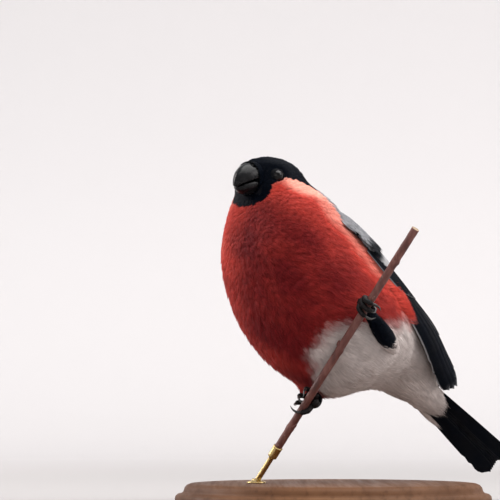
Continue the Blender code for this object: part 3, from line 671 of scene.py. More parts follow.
class Ground:
    """A surface that feathers grow on: nearest points, smooth normals and a place in the unwrapped skin."""

    def __init__(self, mesh):
        mesh.calc_loop_triangles()
        self.points = np.empty(len(mesh.vertices) * 3, np.float32)
        mesh.vertices.foreach_get("co", self.points)
        self.points = self.points.reshape(-1, 3).astype(float) / MM
        self.normals = np.empty(len(mesh.vertices) * 3, np.float32)
        mesh.vertices.foreach_get("normal", self.normals)
        self.normals = self.normals.reshape(-1, 3).astype(float)
        self.faces = np.empty(len(mesh.loop_triangles) * 3, np.int32)
        mesh.loop_triangles.foreach_get("vertices", self.faces)
        self.faces = self.faces.reshape(-1, 3)
        corners = np.empty(len(mesh.loop_triangles) * 3, np.int32)
        mesh.loop_triangles.foreach_get("loops", corners)
        uv = np.empty(len(mesh.loops) * 2, np.float32)
        mesh.uv_layers["OFBake"].uv.foreach_get("vector", uv)
        self.uv = uv.reshape(-1, 2)[corners].reshape(-1, 3, 2)
        self.tree = BVHTree.FromPolygons(self.points.tolist(), self.faces.tolist())

    def shares(self, points, index):
        a, b, c = (self.points[self.faces[index, k]] for k in range(3))
        u, v, w = b - a, c - a, points - a
        uu, uv, vv = (u * u).sum(-1), (u * v).sum(-1), (v * v).sum(-1)
        wu, wv = (w * u).sum(-1), (w * v).sum(-1)
        scale = np.maximum(uu * vv - uv * uv, 1e-12)
        s, t = (vv * wu - uv * wv) / scale, (uu * wv - uv * wu) / scale
        return np.stack((1 - s - t, s, t), -1)

    def nearest(self, points):
        """The nearest points of the surface, and its smooth normals there."""
        find = self.tree.find_nearest
        index = np.empty(len(points), int)
        found = np.empty_like(points)
        for i, point in enumerate(points.tolist()):
            at, _, face, _ = find(point)
            index[i] = face
            found[i] = at
        shares = np.clip(self.shares(found, index), 0, 1)
        shares /= shares.sum(-1, keepdims=True)
        normals = (self.normals[self.faces[index]] * shares[..., None]).sum(1)
        return found, unit(normals)

    def sown(self, spacing):
        """Evenly spread roots: spacing(points) gives the distance between feathers."""
        a, b, c = (self.points[self.faces[:, k]] for k in range(3))
        area = np.linalg.norm(np.cross(b - a, c - a), axis=-1) / 2
        wanted = area / spacing((a + b + c) / 3) ** 2
        total = np.cumsum(wanted)
        marks = np.arange(int(total[-1])) + DRAW.uniform(0, 1, int(total[-1])) * 0.9
        index = np.clip(np.searchsorted(total, marks), 0, len(total) - 1)
        r, s = DRAW.uniform(0, 1, (2, len(index)))
        swap = r + s > 1
        r[swap], s[swap] = 1 - r[swap], 1 - s[swap]
        shares = np.stack((1 - r - s, r, s), -1)
        points = (self.points[self.faces[index]] * shares[..., None]).sum(1)
        normals = unit((self.normals[self.faces[index]] * shares[..., None]).sum(1))
        places = (self.uv[index] * shares[..., None]).sum(1)
        return points, normals, places


# Coat

def lie(points):
    """The way the coat lies: from the bill back over the head, then down the body and a little outward."""
    h = in_head(points)
    b = in_body(points)
    from_bill = unit(points - from_head(BILL_BASE + np.array((0, -4, 0))))
    outward = np.stack((np.sign(b[..., 0]) * 0.28 * smooth(0, 16, np.abs(b[..., 0])), 0 * b[..., 0], -1 + 0 * b[..., 0]), -1)
    outward[..., 1] = 0.1 * smooth(0, -20, b[..., 1])
    down = unit(outward @ BODY.T)
    share = smooth(27, 15, np.linalg.norm(h - np.array((0, 2, 0)), axis=-1))[..., None]
    return from_bill * share + down * (1 - share)


def marched(ground, points, normals, lengths, swirl, lift):
    """Four stations along each feather, over the ground by a rising lift; gives points and normals."""
    stations, ups = [points], [normals]
    way = lie(points)
    way = unit(way - normals * (way * normals).sum(-1, keepdims=True))
    side = np.cross(normals, way)
    way = way * np.cos(swirl)[:, None] + side * np.sin(swirl)[:, None]
    at, up = points, normals
    for _ in range(3):
        at, up = ground.nearest(at + way * (lengths / 3)[:, None])
        turned = way * 0.75 + lie(at) * 0.25
        way = unit(turned - up * (turned * up).sum(-1, keepdims=True))
        stations.append(at)
        ups.append(up)
    stations, ups = np.stack(stations, 1), np.stack(ups, 1)
    share = np.linspace(0, 1, 4)
    rise = 1 - (1 - share) ** 1.7
    return stations + ups * (lift[:, None] * rise)[..., None], ups


def read_at(values, share):
    """Values at four stations, read at shares of the length."""
    position = np.clip(share, 0, 1) * (values.shape[1] - 1)
    i = np.minimum(position.astype(int), values.shape[1] - 2)
    rest = (position - i)[..., None]
    row = np.arange(len(values))[:, None]
    return values[row, i] * (1 - rest) + values[row, i + 1] * rest


def fans(stations, ups, widths, barbs=TUFT_BARBS, loose=0.3, curl=0.14):
    """Small feathers as split fans. Gives points, triangles, and each point's share along, across and its barb."""
    count = len(stations)
    ways = unit(np.gradient(stations, axis=1))
    sides = unit(np.cross(ups, ways))
    across = np.linspace(-1, 1, barbs + 1)
    middle_share = 0.5 + DRAW.uniform(-0.07, 0.07, (count, barbs + 1)) - 0.08 * across**2
    tip_across = (across[1:] + across[:-1]) / 2 + DRAW.uniform(-0.1, 0.1, (count, barbs))
    tip_share = 1 - loose * np.abs(tip_across) ** 1.8 - DRAW.uniform(0, 0.13, (count, barbs))
    shares = np.concatenate((np.zeros((count, 1)), middle_share, tip_share), 1)
    lateral = np.concatenate(
        (np.zeros((count, 1)), np.broadcast_to(across, (count, barbs + 1)), tip_across * 1.12), 1
    )
    at, up, side = read_at(stations, shares), read_at(ups, shares), read_at(sides, shares)
    width = widths[:, None]
    sunk = -curl * lateral**2 * width + DRAW.normal(0, 0.035, lateral.shape) * width
    points = at + side * (lateral * width)[..., None] + unit(up) * sunk[..., None]
    j = np.arange(barbs)
    root = np.stack((0 * j, 1 + j + 1, 1 + j), 1)
    tips = np.stack((1 + j, 2 + j, barbs + 2 + j), 1)
    shape = np.concatenate((root, tips))
    size = 2 * barbs + 2
    faces = (shape[None] + (np.arange(count) * size)[:, None, None]).reshape(-1, 3)
    own = DRAW.uniform(0, 1, (count, size))
    own[:, 0] = 0.5
    return points.reshape(-1, 3), faces, shares, np.clip(lateral, -1, 1), own


def coat_pieces(name, stations, ups, widths, zones, places, finish, slot, barbs=TUFT_BARBS, loose=0.3, most=195000):
    """Feather fans as joined pieces of limited size."""
    made = []
    per_piece = most // (2 * barbs)
    order = np.arange(len(stations))
    for k, start in enumerate(range(0, len(order), per_piece)):
        part = order[start : start + per_piece]
        points, faces, shares, lateral, own = fans(stations[part], ups[part], widths[part], barbs, loose)
        count, size = shares.shape
        tone = np.broadcast_to(DRAW.uniform(0, 1, (count, 1)), (count, size))
        tuft = np.stack((shares, tone, own, np.abs(lateral)), -1).reshape(-1, 4)
        zone = np.broadcast_to(zones[part][:, None, :], (count, size, 4)).reshape(-1, 4)
        patch = np.stack((lateral * 0.0015, (shares - 0.5) * 0.003), -1)
        uv = (places[part][:, None, :] + patch).reshape(-1, 2)
        made.append(piece(
            f"{name}_{k + 1}", points, [faces], finish, {"zones": zone, "tuft": tuft}, uv
        ))
    return made


def build_coat(ground):
    """Small feathers all over the skin, in a black and a coloured group of pieces."""
    def sizes(points):
        b, h = in_body(points), in_head(points)
        place = np.where(np.linalg.norm(h, axis=-1) < 16, HEAD_START + h[..., 2], b[..., 2])
        near_head = smooth(30, 14, np.linalg.norm(h, axis=-1))
        place = np.maximum(b[..., 2], near_head * (HEAD_START + np.maximum(h[..., 2], -6)))
        length = steps(COAT_LENGTH, place)
        from_bill = np.linalg.norm(h - BILL_BASE, axis=-1)
        from_eye = np.minimum(
            np.linalg.norm(h - EYE_AT, axis=-1), np.linalg.norm(h - EYE_AT * (-1, 1, 1), axis=-1)
        )
        length = length * (0.42 + 0.58 * smooth(5, 14, from_bill)) * (0.5 + 0.5 * smooth(2.6, 6.5, from_eye))
        return place, length

    def spacing(points):
        return 0.3 + 0.073 * sizes(points)[1]

    points, normals, places = ground.sown(spacing)
    h, b = in_head(points), in_body(points)
    # No feathers inside the bill, on the eyes or deep under the folded wings
    bill = (np.abs(h[:, 0]) < 4.9) & (h[:, 1] < -8.6) & (h[:, 2] < 6.9) & (h[:, 2] > -4.4)
    eyes = np.zeros(len(points), bool)
    for side in (1, -1):
        eye = EYE_AT * (side, 1, 1)
        look = EYE_LOOK * (side, 1, 1)
        off = h - eye
        ahead = off @ look
        eyes |= (np.linalg.norm(off - ahead[:, None] * look, axis=-1) < 2.35) & (ahead > -1)
    turn = np.degrees(np.arctan2(b[:, 1] + 1, np.abs(b[:, 0])))
    covered = (turn > 24) & (turn < 62) & (b[:, 2] < 8) & (b[:, 2] > -44)
    keep = ~(bill | eyes | covered)
    points, normals, places = points[keep], normals[keep], places[keep]
    place, length = sizes(points)
    length = length * DRAW.uniform(0.82, 1.16, len(points))
    swirl = np.radians(wave(points, 9, 7) * 6 + DRAW.normal(0, 5, len(points)))
    lift = skin_depth(place, points) * DRAW.uniform(0.8, 1.3, len(points))
    stations, ups = marched(ground, points, normals, length, swirl, lift)
    widths = 0.17 * length + 0.12
    zones = markings(stations[:, 2])
    dark = zones[:, 0] > DRAW.uniform(0.35, 0.65, len(points))
    zones[dark, 0] = 1
    zones[~dark, 0] = 0
    cap = coat_finish("cap feathers", 0.0, 0.42, Specular_IOR_Level=0.025)
    body = coat_finish("body feathers", 0.1, 0.8, Specular_IOR_Level=0.08, Sheen_Weight=0.08, Sheen_Roughness=0.5)
    coat_pieces("coat_cap", *(v[dark] for v in (stations, ups, widths, zones, places)), cap, "cap_feathers")
    coat_pieces("coat_body", *(v[~dark] for v in (stations, ups, widths, zones, places)), body, "body_feathers")
    return cap, body


# Large feathers

def sheet_point(place, angle, lift, side):
    """Points over the folded wing's sheet, in the world; angles in radians."""
    place, angle, lift = np.broadcast_arrays(place, angle, lift)
    row = between(np.array(WING_SHEETS[side], float), place)
    c, s = rounded(angle)
    return from_body(
        np.stack((side * c * (row[..., 1] + lift), row[..., 2] + s * (row[..., 3] + lift), place), -1)
    )


def sheet_vane(root, tip, side, tilt):
    """A function from shares, distances across and lifts to points over the sheet."""
    root, tip = np.array(root, float), np.array(tip, float)

    def at(share, across, lift):
        place = root[0] + (tip[0] - root[0]) * share
        angle = np.radians(root[1] + (tip[1] - root[1]) * share)
        level = root[2] + (tip[2] - root[2]) * share
        step = 0.02
        near = sheet_point(place, angle - step, level, side)
        far = sheet_point(place, angle + step, level, side)
        per = np.linalg.norm(far - near, axis=-1) / (2 * step)
        return sheet_point(place, angle + across / per, level + lift + tilt * across, side)

    return at


def straight_vane(root, tip, out, bow=0.0, tilt=0.0):
    """The same between two points of the body's frame, arched towards its outer side."""
    root, tip, out = (np.array(value, float) for value in (root, tip, out))
    out = unit(out)
    sideways = unit(np.cross(tip - root, out))

    def at(share, across, lift):
        share, across, lift = (np.asarray(v)[..., None] for v in np.broadcast_arrays(share, across, lift))
        line = root + (tip - root) * share + sideways * across
        return from_body(line + out * (bow * 4 * share * (1 - share) + lift + tilt * across))

    return at


def vane_mesh(at, outline, lopsided, edge_side, thick=0.3):
    """One closed, thin feather with a raised shaft and split edges: points, faces, trim and vane values."""
    share = 1 - (1 - np.linspace(0, 1, VANE_ROWS)) ** 1.25
    known = np.array(outline, float)
    width = np.interp(share, known[:, 0], known[:, 1])
    columns = VANE_COLUMNS[None, :]
    across = columns * width[:, None] * np.where(columns * edge_side > 0, 1 - lopsided, 1 + lopsided)
    shares = np.broadcast_to(share[:, None], across.shape).copy()
    shares -= 0.012 * np.abs(columns) * (share[:, None] > 0.1)
    for _ in range(3):
        row = DRAW.integers(7, VANE_ROWS - 4)
        column = DRAW.choice((0, len(VANE_COLUMNS) - 1))
        across[row, column] *= DRAW.uniform(0.72, 0.9)
        shares[row, column] -= 0.012
    camber = -0.1 * (columns**2) * width[:, None]
    ridge = 0.14 * (np.abs(columns) < 0.05) * np.linspace(1, 0.25, VANE_ROWS)[:, None]
    half = thick / 2 * (1 - 0.75 * np.abs(columns) ** 2) * np.ones_like(across)
    top = at(shares, across, camber + half + ridge)
    bottom = at(shares, across, camber - half)
    rows, around = across.shape
    points = np.vstack((top.reshape(-1, 3), bottom.reshape(-1, 3)))
    grid = ring_faces(rows, around, closed=False)
    size = rows * around
    i = np.arange(rows - 1)
    left = np.stack((i * around, (i + 1) * around, (i + 1) * around + size, i * around + size), 1)
    right = np.stack((i * around, i * around + size, (i + 1) * around + size, (i + 1) * around), 1) + around - 1
    j = np.arange(around - 1)
    start = np.stack((j, j + size, j + 1 + size, j + 1), 1)
    end = np.stack((j, j + 1, j + 1 + size, j + size), 1) + (rows - 1) * around
    faces = np.vstack((grid, grid[:, ::-1] + size, left, right, start, end))
    lateral = np.broadcast_to(columns, across.shape)
    return points, faces, shares, lateral, across


def vanes_piece(name, feathers, finish, replaces=()):
    """Joins feathers into one piece; each is (at, outline, lopsided, edge_side, pale edge, pale tip, grey, warm)."""
    points, faces, trims, vanes, places = [], [], [], [], []
    first = 0
    cells = math.ceil(math.sqrt(len(feathers)))
    for k, (at, outline, lopsided, edge_side, edge, tip, grey, warm) in enumerate(feathers):
        p, f, share, lateral, across = vane_mesh(at, outline, lopsided, edge_side)
        points.append(p)
        faces.append(f + first)
        first += len(p)
        outer = np.clip(lateral * edge_side, 0, 1)
        rim = edge * np.maximum(smooth(0.86, 0.98, outer), 0.5 * smooth(0.975, 0.995, share))
        end = tip * smooth(0.54, 0.8, share + 0.04 * np.abs(lateral) + DRAW.normal(0, 0.012))
        length = np.linalg.norm(np.diff(p[: share.size].reshape(*share.shape, 3)[:, 4], axis=0), axis=1).sum()
        trim = np.stack((rim, end, np.full_like(share, grey), warm * smooth(0.1, 0.3, outer)), -1).reshape(-1, 4)
        tone = DRAW.uniform(0, 1)
        vane = np.stack(
            (share, np.abs(across) / 5, np.full_like(share, tone), share * length / 100), -1
        ).reshape(-1, 4)
        trims += [trim, trim * (0.6, 1, 1, 1)]
        vanes += [vane, vane]
        corner = np.array((k % cells, k // cells)) / cells
        flat = np.stack((0.03 + 0.2 * (lateral + 1), 0.03 + 0.94 * share), -1).reshape(-1, 2)
        places += [corner + flat / cells, corner + (flat + (0.5, 0)) / cells]
    return piece(
        name, np.vstack(points), [np.vstack(faces)], finish,
        {"trim": np.vstack(trims), "vane": np.vstack(vanes)}, np.vstack(places), replaces,
    )


def build_wing(name, side, finish):
    feathers = []
    for tier, count, root_low, root_high, tip_low, tip_high, outline, edge, tip, grey in WING_TIERS:
        if tier == "primary":
            tip_low = (tip_low[0], LOWEST_PRIMARY[side], tip_low[2])
        for k in range(count):
            share = k / (count - 1)
            spread = DRAW.uniform((-0.5, -0.5), (0.5, 0.5))
            root = [a + (b - a) * share for a, b in zip(root_low, root_high)]
            end = [a + (b - a) * share for a, b in zip(tip_low, tip_high)]
            if tier != "primary":
                end[0] += spread[0]
                end[1] += spread[1]
            else:
                end[0] -= PRIMARY_POINT * math.exp(-(((k - LONGEST_PRIMARY) / 1.7) ** 2))
            warm = 0.8 if tier == "tertial" and k == count - 1 else 0
            at = sheet_vane(root, end, side, 0.07)
            feathers.append((at, outline, 0.18, -1, edge, tip, grey, warm))
    return vanes_piece(f"{name}_feathers", feathers, finish, (name,))


def build_wing_coat(name, side, finish):
    """The small grey coverts over the wing's arm, in rows."""
    rng = DRAW
    count = 1500
    place = rng.uniform(4, 25, count)
    angle = np.radians(rng.uniform(9, 74, count))
    order = np.argsort(place)
    place, angle = place[order], angle[order]
    length = rng.uniform(4.2, 5.6, count)
    share = np.linspace(0, 1, 4)
    drift = np.radians(rng.normal(0, 4, count))
    places = place[:, None] - length[:, None] * share
    angles = angle[:, None] + drift[:, None] * share
    rise = 1 - (1 - share) ** 1.6
    base = np.interp(place, (4, 10, 20, 25), (3.1, 2.7, 1.6, 0.6))
    lifts = base[:, None] - 1.1 + rng.uniform(0.6, 1.1, count)[:, None] * rise
    stations = sheet_point(places, angles, lifts, side)
    over = sheet_point(places, angles, lifts + 1, side)
    ups = unit(over - stations)
    zones = np.zeros((count, 4))
    grey = smooth(-1.5, 1.5, place - 11 + 0.1 * np.degrees(angle) + rng.uniform(-1, 1, count))
    zones[:, 0] = 1 - grey
    zones[:, 2] = 1
    places_uv = np.column_stack((0.05 + 0.9 * (angle / 1.4), 0.05 + 0.9 * (place + 2) / 27))
    widths = rng.uniform(1.1, 1.5, count)
    coat_pieces(f"{name}_coat", stations, ups, widths, zones, places_uv, finish, "body_feathers", 11, 0.35)


def build_flank(name, side, finish):
    """Feathers of the flank that lap over the lower edge of the folded wing."""
    count = 1300
    place = np.sort(DRAW.uniform(-23.5, 8, count))
    edge = np.interp(place, (-60, -2, 8), (LOWEST_PRIMARY[side], 13, 12))
    start = edge - DRAW.uniform(3, 15, count)
    reach = np.interp(place, (-24, -16, -8, 2, 8), (-6.5, -1.6, 0.8, 1, -1))
    end = np.minimum(start + 12, edge + reach + DRAW.uniform(-1.5, 1, count))
    length = DRAW.uniform(5.5, 7.5, count)
    step = np.linspace(0, 1, 4)
    places = place[:, None] - length[:, None] * step
    angles = np.radians(start[:, None] + (end - start)[:, None] * step)
    top = DRAW.uniform(2.3, 2.9, count) * np.interp(place, (-26, -18), (0.72, 1))
    lifts = -1.6 + top[:, None] * (1 - (1 - step) ** 1.6)
    patches = np.column_stack((0.05 + 0.9 * (start + 60) / 80, 0.05 + 0.9 * (place + 30) / 46))
    stations = sheet_point(places, angles, lifts, side)
    ups = unit(sheet_point(places, angles, lifts + 1, side) - stations)
    zones = markings(stations[:, 2] + BODY[:, 2] * 5.0)
    zones[:, (0, 2)] = 0
    # The flank's tone, its painted sheen included, is scaled to four fifths.
    zones[:, 3] *= 0.8
    coat_pieces(f"{name}_flank", stations, ups, 0.13 * length, zones, patches, finish, "body_feathers")


def build_tail(finish, body):
    feathers = []
    half = (TAIL_FEATHERS - 1) / 2
    for k in range(TAIL_FEATHERS):
        place = k - half
        step = (half / 2 - abs(place)) * TAIL_STEP + 0.12 * (k % 2)
        root = (place * TAIL_SPACING[0], TAIL_LEVEL[0] + step, TAIL_ROOT_AT)
        tip = (place * TAIL_SPACING[1], TAIL_LEVEL[1] + step, TAIL_TIP - TAIL_NOTCH * abs(place))
        at = straight_vane(root, tip, (0.03 * place, 1, 0), 0.0, 0.03 * np.sign(place))
        side = 1 if place < 0 else -1
        feathers.append((at, TAIL_VANE, 0.2, side, 0.04, 0, 0, 0))
    for k in range(9):
        share = k / 8 * 2 - 1
        root = (share * 6.3, 9.9 - 1.9 * share**2, -41)
        tip = (share * 3.6, 10.2 - 0.6 * share**2, -66 + 5 * abs(share) + DRAW.uniform(-1, 1))
        at = straight_vane(root, tip, (share * 0.6, 1, 0.1), 0.7, 0.05)
        feathers.append((at, COVERT, 0, 1 if share > 0 else -1, 0.05, 0, 0, 0))
    vanes_piece("tail_feathers", feathers, finish, ("tail",))
    # Long, loose white coverts under the tail
    count = 460
    share = DRAW.uniform(-1, 1, count)
    back = DRAW.uniform(0, 1, count)
    root = np.column_stack((share * (12 - 7 * back), -6 + 8 * back + 6.5 * share**2 * (1 - back), -36 - 20 * back))
    length = DRAW.uniform(13, 18, count) + 7 * smooth(0.5, 0, back)
    tip = np.column_stack(
        (root[:, 0] * 0.55, 4.6 - 2.2 * (1 - back) + 1.5 * share**2, np.maximum(root[:, 2] - length, -80 + 7 * np.abs(share)))
    )
    # The last of them lie close along both edges of the tail
    edge = slice(count - 60, count)
    way, more = np.sign(share[edge]), DRAW.uniform(0, 1, (3, 60))
    share[edge] = 0.25 * way
    root[edge] = np.column_stack((way * (4.6 + more[0]), 6.0 - 0.8 * more[1], -56 - 5 * more[2]))
    far = np.where(way > 0, -62 - 3 * more[2], -70 - 8.5 * more[2])
    tip[edge] = np.column_stack((way * (5.7 + 0.7 * more[0]), 6.4 - 0.4 * more[1], far))
    steps_along = np.linspace(0, 1, 4)[None, :, None]
    out = unit(np.column_stack((share * 0.8, -np.ones(count), np.full(count, -0.25))))
    line = root[:, None] + (tip - root)[:, None] * steps_along
    line = line + out[:, None] * (1.5 * 4 * steps_along * (1 - steps_along))
    order = np.argsort(-back)
    stations = from_body(line)[order]
    ups = np.broadcast_to((out @ BODY.T)[:, None], stations.shape)[order]
    zones = np.tile((0.0, 1.0, 0.0, 0.5), (count, 1))
    places = np.column_stack((0.05 + 0.9 * (share + 1) / 2, 0.05 + 0.9 * back))[order]
    widths = np.where(np.arange(count) < count - 60, DRAW.uniform(1.9, 2.6, count), 0.9)[order]
    coat_pieces("undertail", stations, ups, widths, zones, places, body, "body_feathers", 17, 0.4)


# Bill and eyes

def horn_finish():
    finish = Finish("bill horn", Specular_IOR_Level=0.13)
    cloud = finish.noise(260, 4, (1, 1, 0.5))
    colour = finish.mix(finish.ranged(cloud, 0.3, 0.75), (0.003, 0.003, 0.0036), (0.009, 0.0085, 0.0095))
    finish.bump(finish.noise(900, 3), 0.00008, 0.5)
    return finish.done(colour, finish.ranged(cloud, 0.3, 0.7, 0.2, 0.3))


def build_bill(finish):
    for name, rows in (("bill_upper", BILL_UPPER), ("bill_lower", BILL_LOWER)):
        upper = name == "bill_upper"
        table = np.array(rows, float)
        place = np.linspace(table[0, 0], table[-1, 0], 34)
        place = table[0, 0] + (table[-1, 0] - table[0, 0]) * (1 - (1 - np.linspace(0, 1, 34)) ** 1.35)
        row = between(table, place)
        rings = []
        turn = np.linspace(0, 2 * np.pi, 44, endpoint=False)
        for at, top, bottom, width in row:
            edge, far = (bottom, top) if upper else (top, bottom)
            middle = edge + (far - edge) * 0.25
            c, s = np.cos(turn), np.sin(turn)
            flat_c, flat_s = rounded(turn, 4.5)
            c, s = np.where(s < 0, flat_c, c), np.where(s < 0, flat_s, s)
            keel = np.maximum(s, 0) ** 6 * 0.06 * width
            reach = np.where(s > 0, abs(far - middle), abs(middle - edge))
            way = 1 if upper else -1
            height = middle + way * s * reach + way * keel * 0.5
            narrow = 1 - 0.06 * np.maximum(s, 0) ** 2
            rings.append(np.column_stack((c * max(width, 0.15) * narrow, np.full(44, -at), height)))
        rings = np.array(rings)
        if upper:
            for side in (1, -1):
                pit = np.array((side * 2.9, -11.6, 5.9))
                away = np.linalg.norm((rings - pit) * (1, 0.75, 1.25), axis=-1)
                inward = unit(np.array((0, -12.5, 3.0)) - rings)
                rings = rings + inward * (0.75 * smooth(0.95, 0.2, away))[..., None]
        points, polygons = loft_points(from_head(rings))
        if not upper:
            polygons = [shape[:, ::-1] for shape in polygons]
        piece(name + "_horn", points, polygons, finish, replaces=(name,))


def build_bristles(finish):
    """Short black feathers that close round the bill's base and over the nostrils."""
    count = 900
    turn = DRAW.uniform(0, 2 * np.pi, count)
    start = DRAW.uniform(-9.4, -7.2, count)
    length = DRAW.uniform(1.8, 2.9, count) + 0.7 * smooth(0.2, 1.0, np.sin(turn))
    step = np.linspace(0, 1, 4)
    ahead = start[:, None] - length[:, None] * step
    wide = np.interp(-ahead, (7, 12, 15), (5.25, 4.95, 4.1))
    high = np.interp(-ahead, (7, 12, 15), (6.3, 6.0, 4.9))
    lift = 0.1 + 0.35 * step + DRAW.uniform(0, 0.25, count)[:, None]
    c, s = np.cos(turn)[:, None], np.sin(turn)[:, None]
    stations = from_head(np.stack((c * (wide + lift), ahead, 1.2 + s * (high + lift)), -1))
    out = unit(np.stack((c / wide, 0 * wide, s / high), -1)) @ HEAD_AXES.T @ BODY.T
    zones = np.tile((1.0, 0.0, 0.0, 0.5), (count, 1))
    places = np.column_stack((0.05 + 0.9 * turn / 6.3, 0.1 + 0.8 * (start + 9.4) / 2.2))
    widths = DRAW.uniform(0.4, 0.6, count)
    coat_pieces("bristles", stations, out, widths, zones, places, finish, "cap_feathers", 5, 0.5)


def build_eyes():
    finish = Finish("eye", Roughness=0.03, Specular_IOR_Level=0.22)
    iris, _, _, _ = finish.attribute("iris")
    eye = finish.done(finish.ramp(iris, ((0.0, (0.001, 0.001, 0.001)), (0.45, (0.001, 0.001, 0.001)),
                                         (0.55, (0.003, 0.0018, 0.0015)), (1.0, (0.0015, 0.0012, 0.0012)))))
    rim_finish = Finish("eyelid", Roughness=0.7, Specular_IOR_Level=0.05)
    rim_finish.bump(rim_finish.noise(2500, 2), 0.0001, 0.6)
    rim = rim_finish.done(rim_finish.mix(rim_finish.noise(900, 2), (0.002, 0.0025, 0.0035), (0.005, 0.0055, 0.007)))
    for name, side in (("eye_left", 1), ("eye_right", -1)):
        look = EYE_LOOK * (side, 1, 1)
        centre = EYE_AT * (side, 1, 1)
        across = unit(np.cross(look, UP))
        over = np.cross(across, look)
        polar = np.linspace(0, np.pi, 48)
        turn = np.linspace(0, 2 * np.pi, 64, endpoint=False)
        radius = EYE_RADIUS * (1 + 0.03 * np.exp(-((polar / 0.5) ** 2)))
        rings = centre + look * (np.cos(polar) * radius)[:, None, None] + (
            np.sin(polar) * radius
        )[:, None, None] * (np.cos(turn)[:, None] * across + np.sin(turn)[:, None] * over)
        points, polygons = loft_points(from_head(rings[1:-1]))
        share = np.repeat(np.clip(np.sin(polar[1:-1]) / 0.86 + (polar[1:-1] > 1.6), 0, 1), 64)
        share = np.append(share, (0, 1))
        colour = np.column_stack((share, share, share, np.ones_like(share)))
        piece(name + "_ball", points, polygons, eye, {"iris": colour}, replaces=(name,))
        # The lids: a soft rim on the ball that slopes out to the skin, a little lower in front and behind
        profile = ((2.02, 1.58), (2.06, 1.76), (2.18, 1.8), (2.36, 1.68), (2.6, 1.38), (2.95, 0.85), (3.25, 0.25))
        rings = []
        for reach, ahead in profile:
            oval = 1 - 0.07 * np.sin(turn) ** 2
            crease = 0.03 * np.sin(turn * 17 + reach * 9) * smooth(2.1, 2.5, reach)
            rings.append(
                centre + look * (ahead + crease)[:, None]
                + (np.cos(turn)[:, None] * across + np.sin(turn)[:, None] * over) * (reach * oval)[:, None]
            )
        rings = np.array(rings)
        inner = rings[::-1] - look * 0.35
        loop = np.concatenate((rings, inner))
        faces = ring_faces(len(loop), 64)
        i = np.arange(64)
        j = (i + 1) % 64
        last = (len(loop) - 1) * 64
        faces = np.vstack((faces, np.stack((last + i, last + j, j, i), 1)))
        piece(name.replace("eye", "lids"), from_head(loop.reshape(-1, 3)), [faces], rim)


# Feet

def twig_axes():
    along = unit(TWIG_HIGH - TWIG_LOW)
    near = np.array((0.0, -1.0, 0.0))
    near = unit(near - along * (along @ near))
    return along, near, np.cross(along, near)


def twig_point(share):
    return TWIG_LOW + (TWIG_HIGH - TWIG_LOW) * share


def round_twig(share, shift, turn, distance):
    along, near, over = twig_axes()
    angle = math.radians(turn)
    return twig_point(share) + along * shift + (near * math.cos(angle) + over * math.sin(angle)) * distance


def scaled_tube(name, line, radii, finish, bands, depth, replaces=(), around=18):
    """A toe or shank with overlapping scutes along its front and fine scales behind."""
    count = len(line)
    share = np.linspace(0, 1, count)
    saw = (share * bands) % 1.0
    turn = np.linspace(0, 2 * np.pi, around, endpoint=False)
    front = 0.5 + 0.5 * np.cos(turn)
    step = depth * (0.4 + 0.6 * (1 - saw) ** 0.6)[:, None] * (0.35 + 0.65 * front)[None, :]
    widths = np.asarray(radii)[:, None] * (0.95 + step)
    rings = tube_rings(line, widths, around, np.array((0.0, -1.0, 0.3)))
    points, polygons = loft_points(rings)
    return piece(name, points, polygons, finish, replaces=replaces)


def leg_finish():
    finish = Finish("leg skin", Specular_IOR_Level=0.12)
    cloud = finish.noise(700, 4)
    cells = finish.node("ShaderNodeTexVoronoi", {"Vector": finish.place(), "Scale": 2200.0}).outputs[0]
    colour = finish.mix(finish.ranged(cloud, 0.3, 0.7), (0.004, 0.0035, 0.004), (0.013, 0.01, 0.0095))
    finish.bump(cells, 0.00006, 0.6)
    return finish.done(colour, finish.ranged(cloud, 0.3, 0.7, 0.42, 0.6))


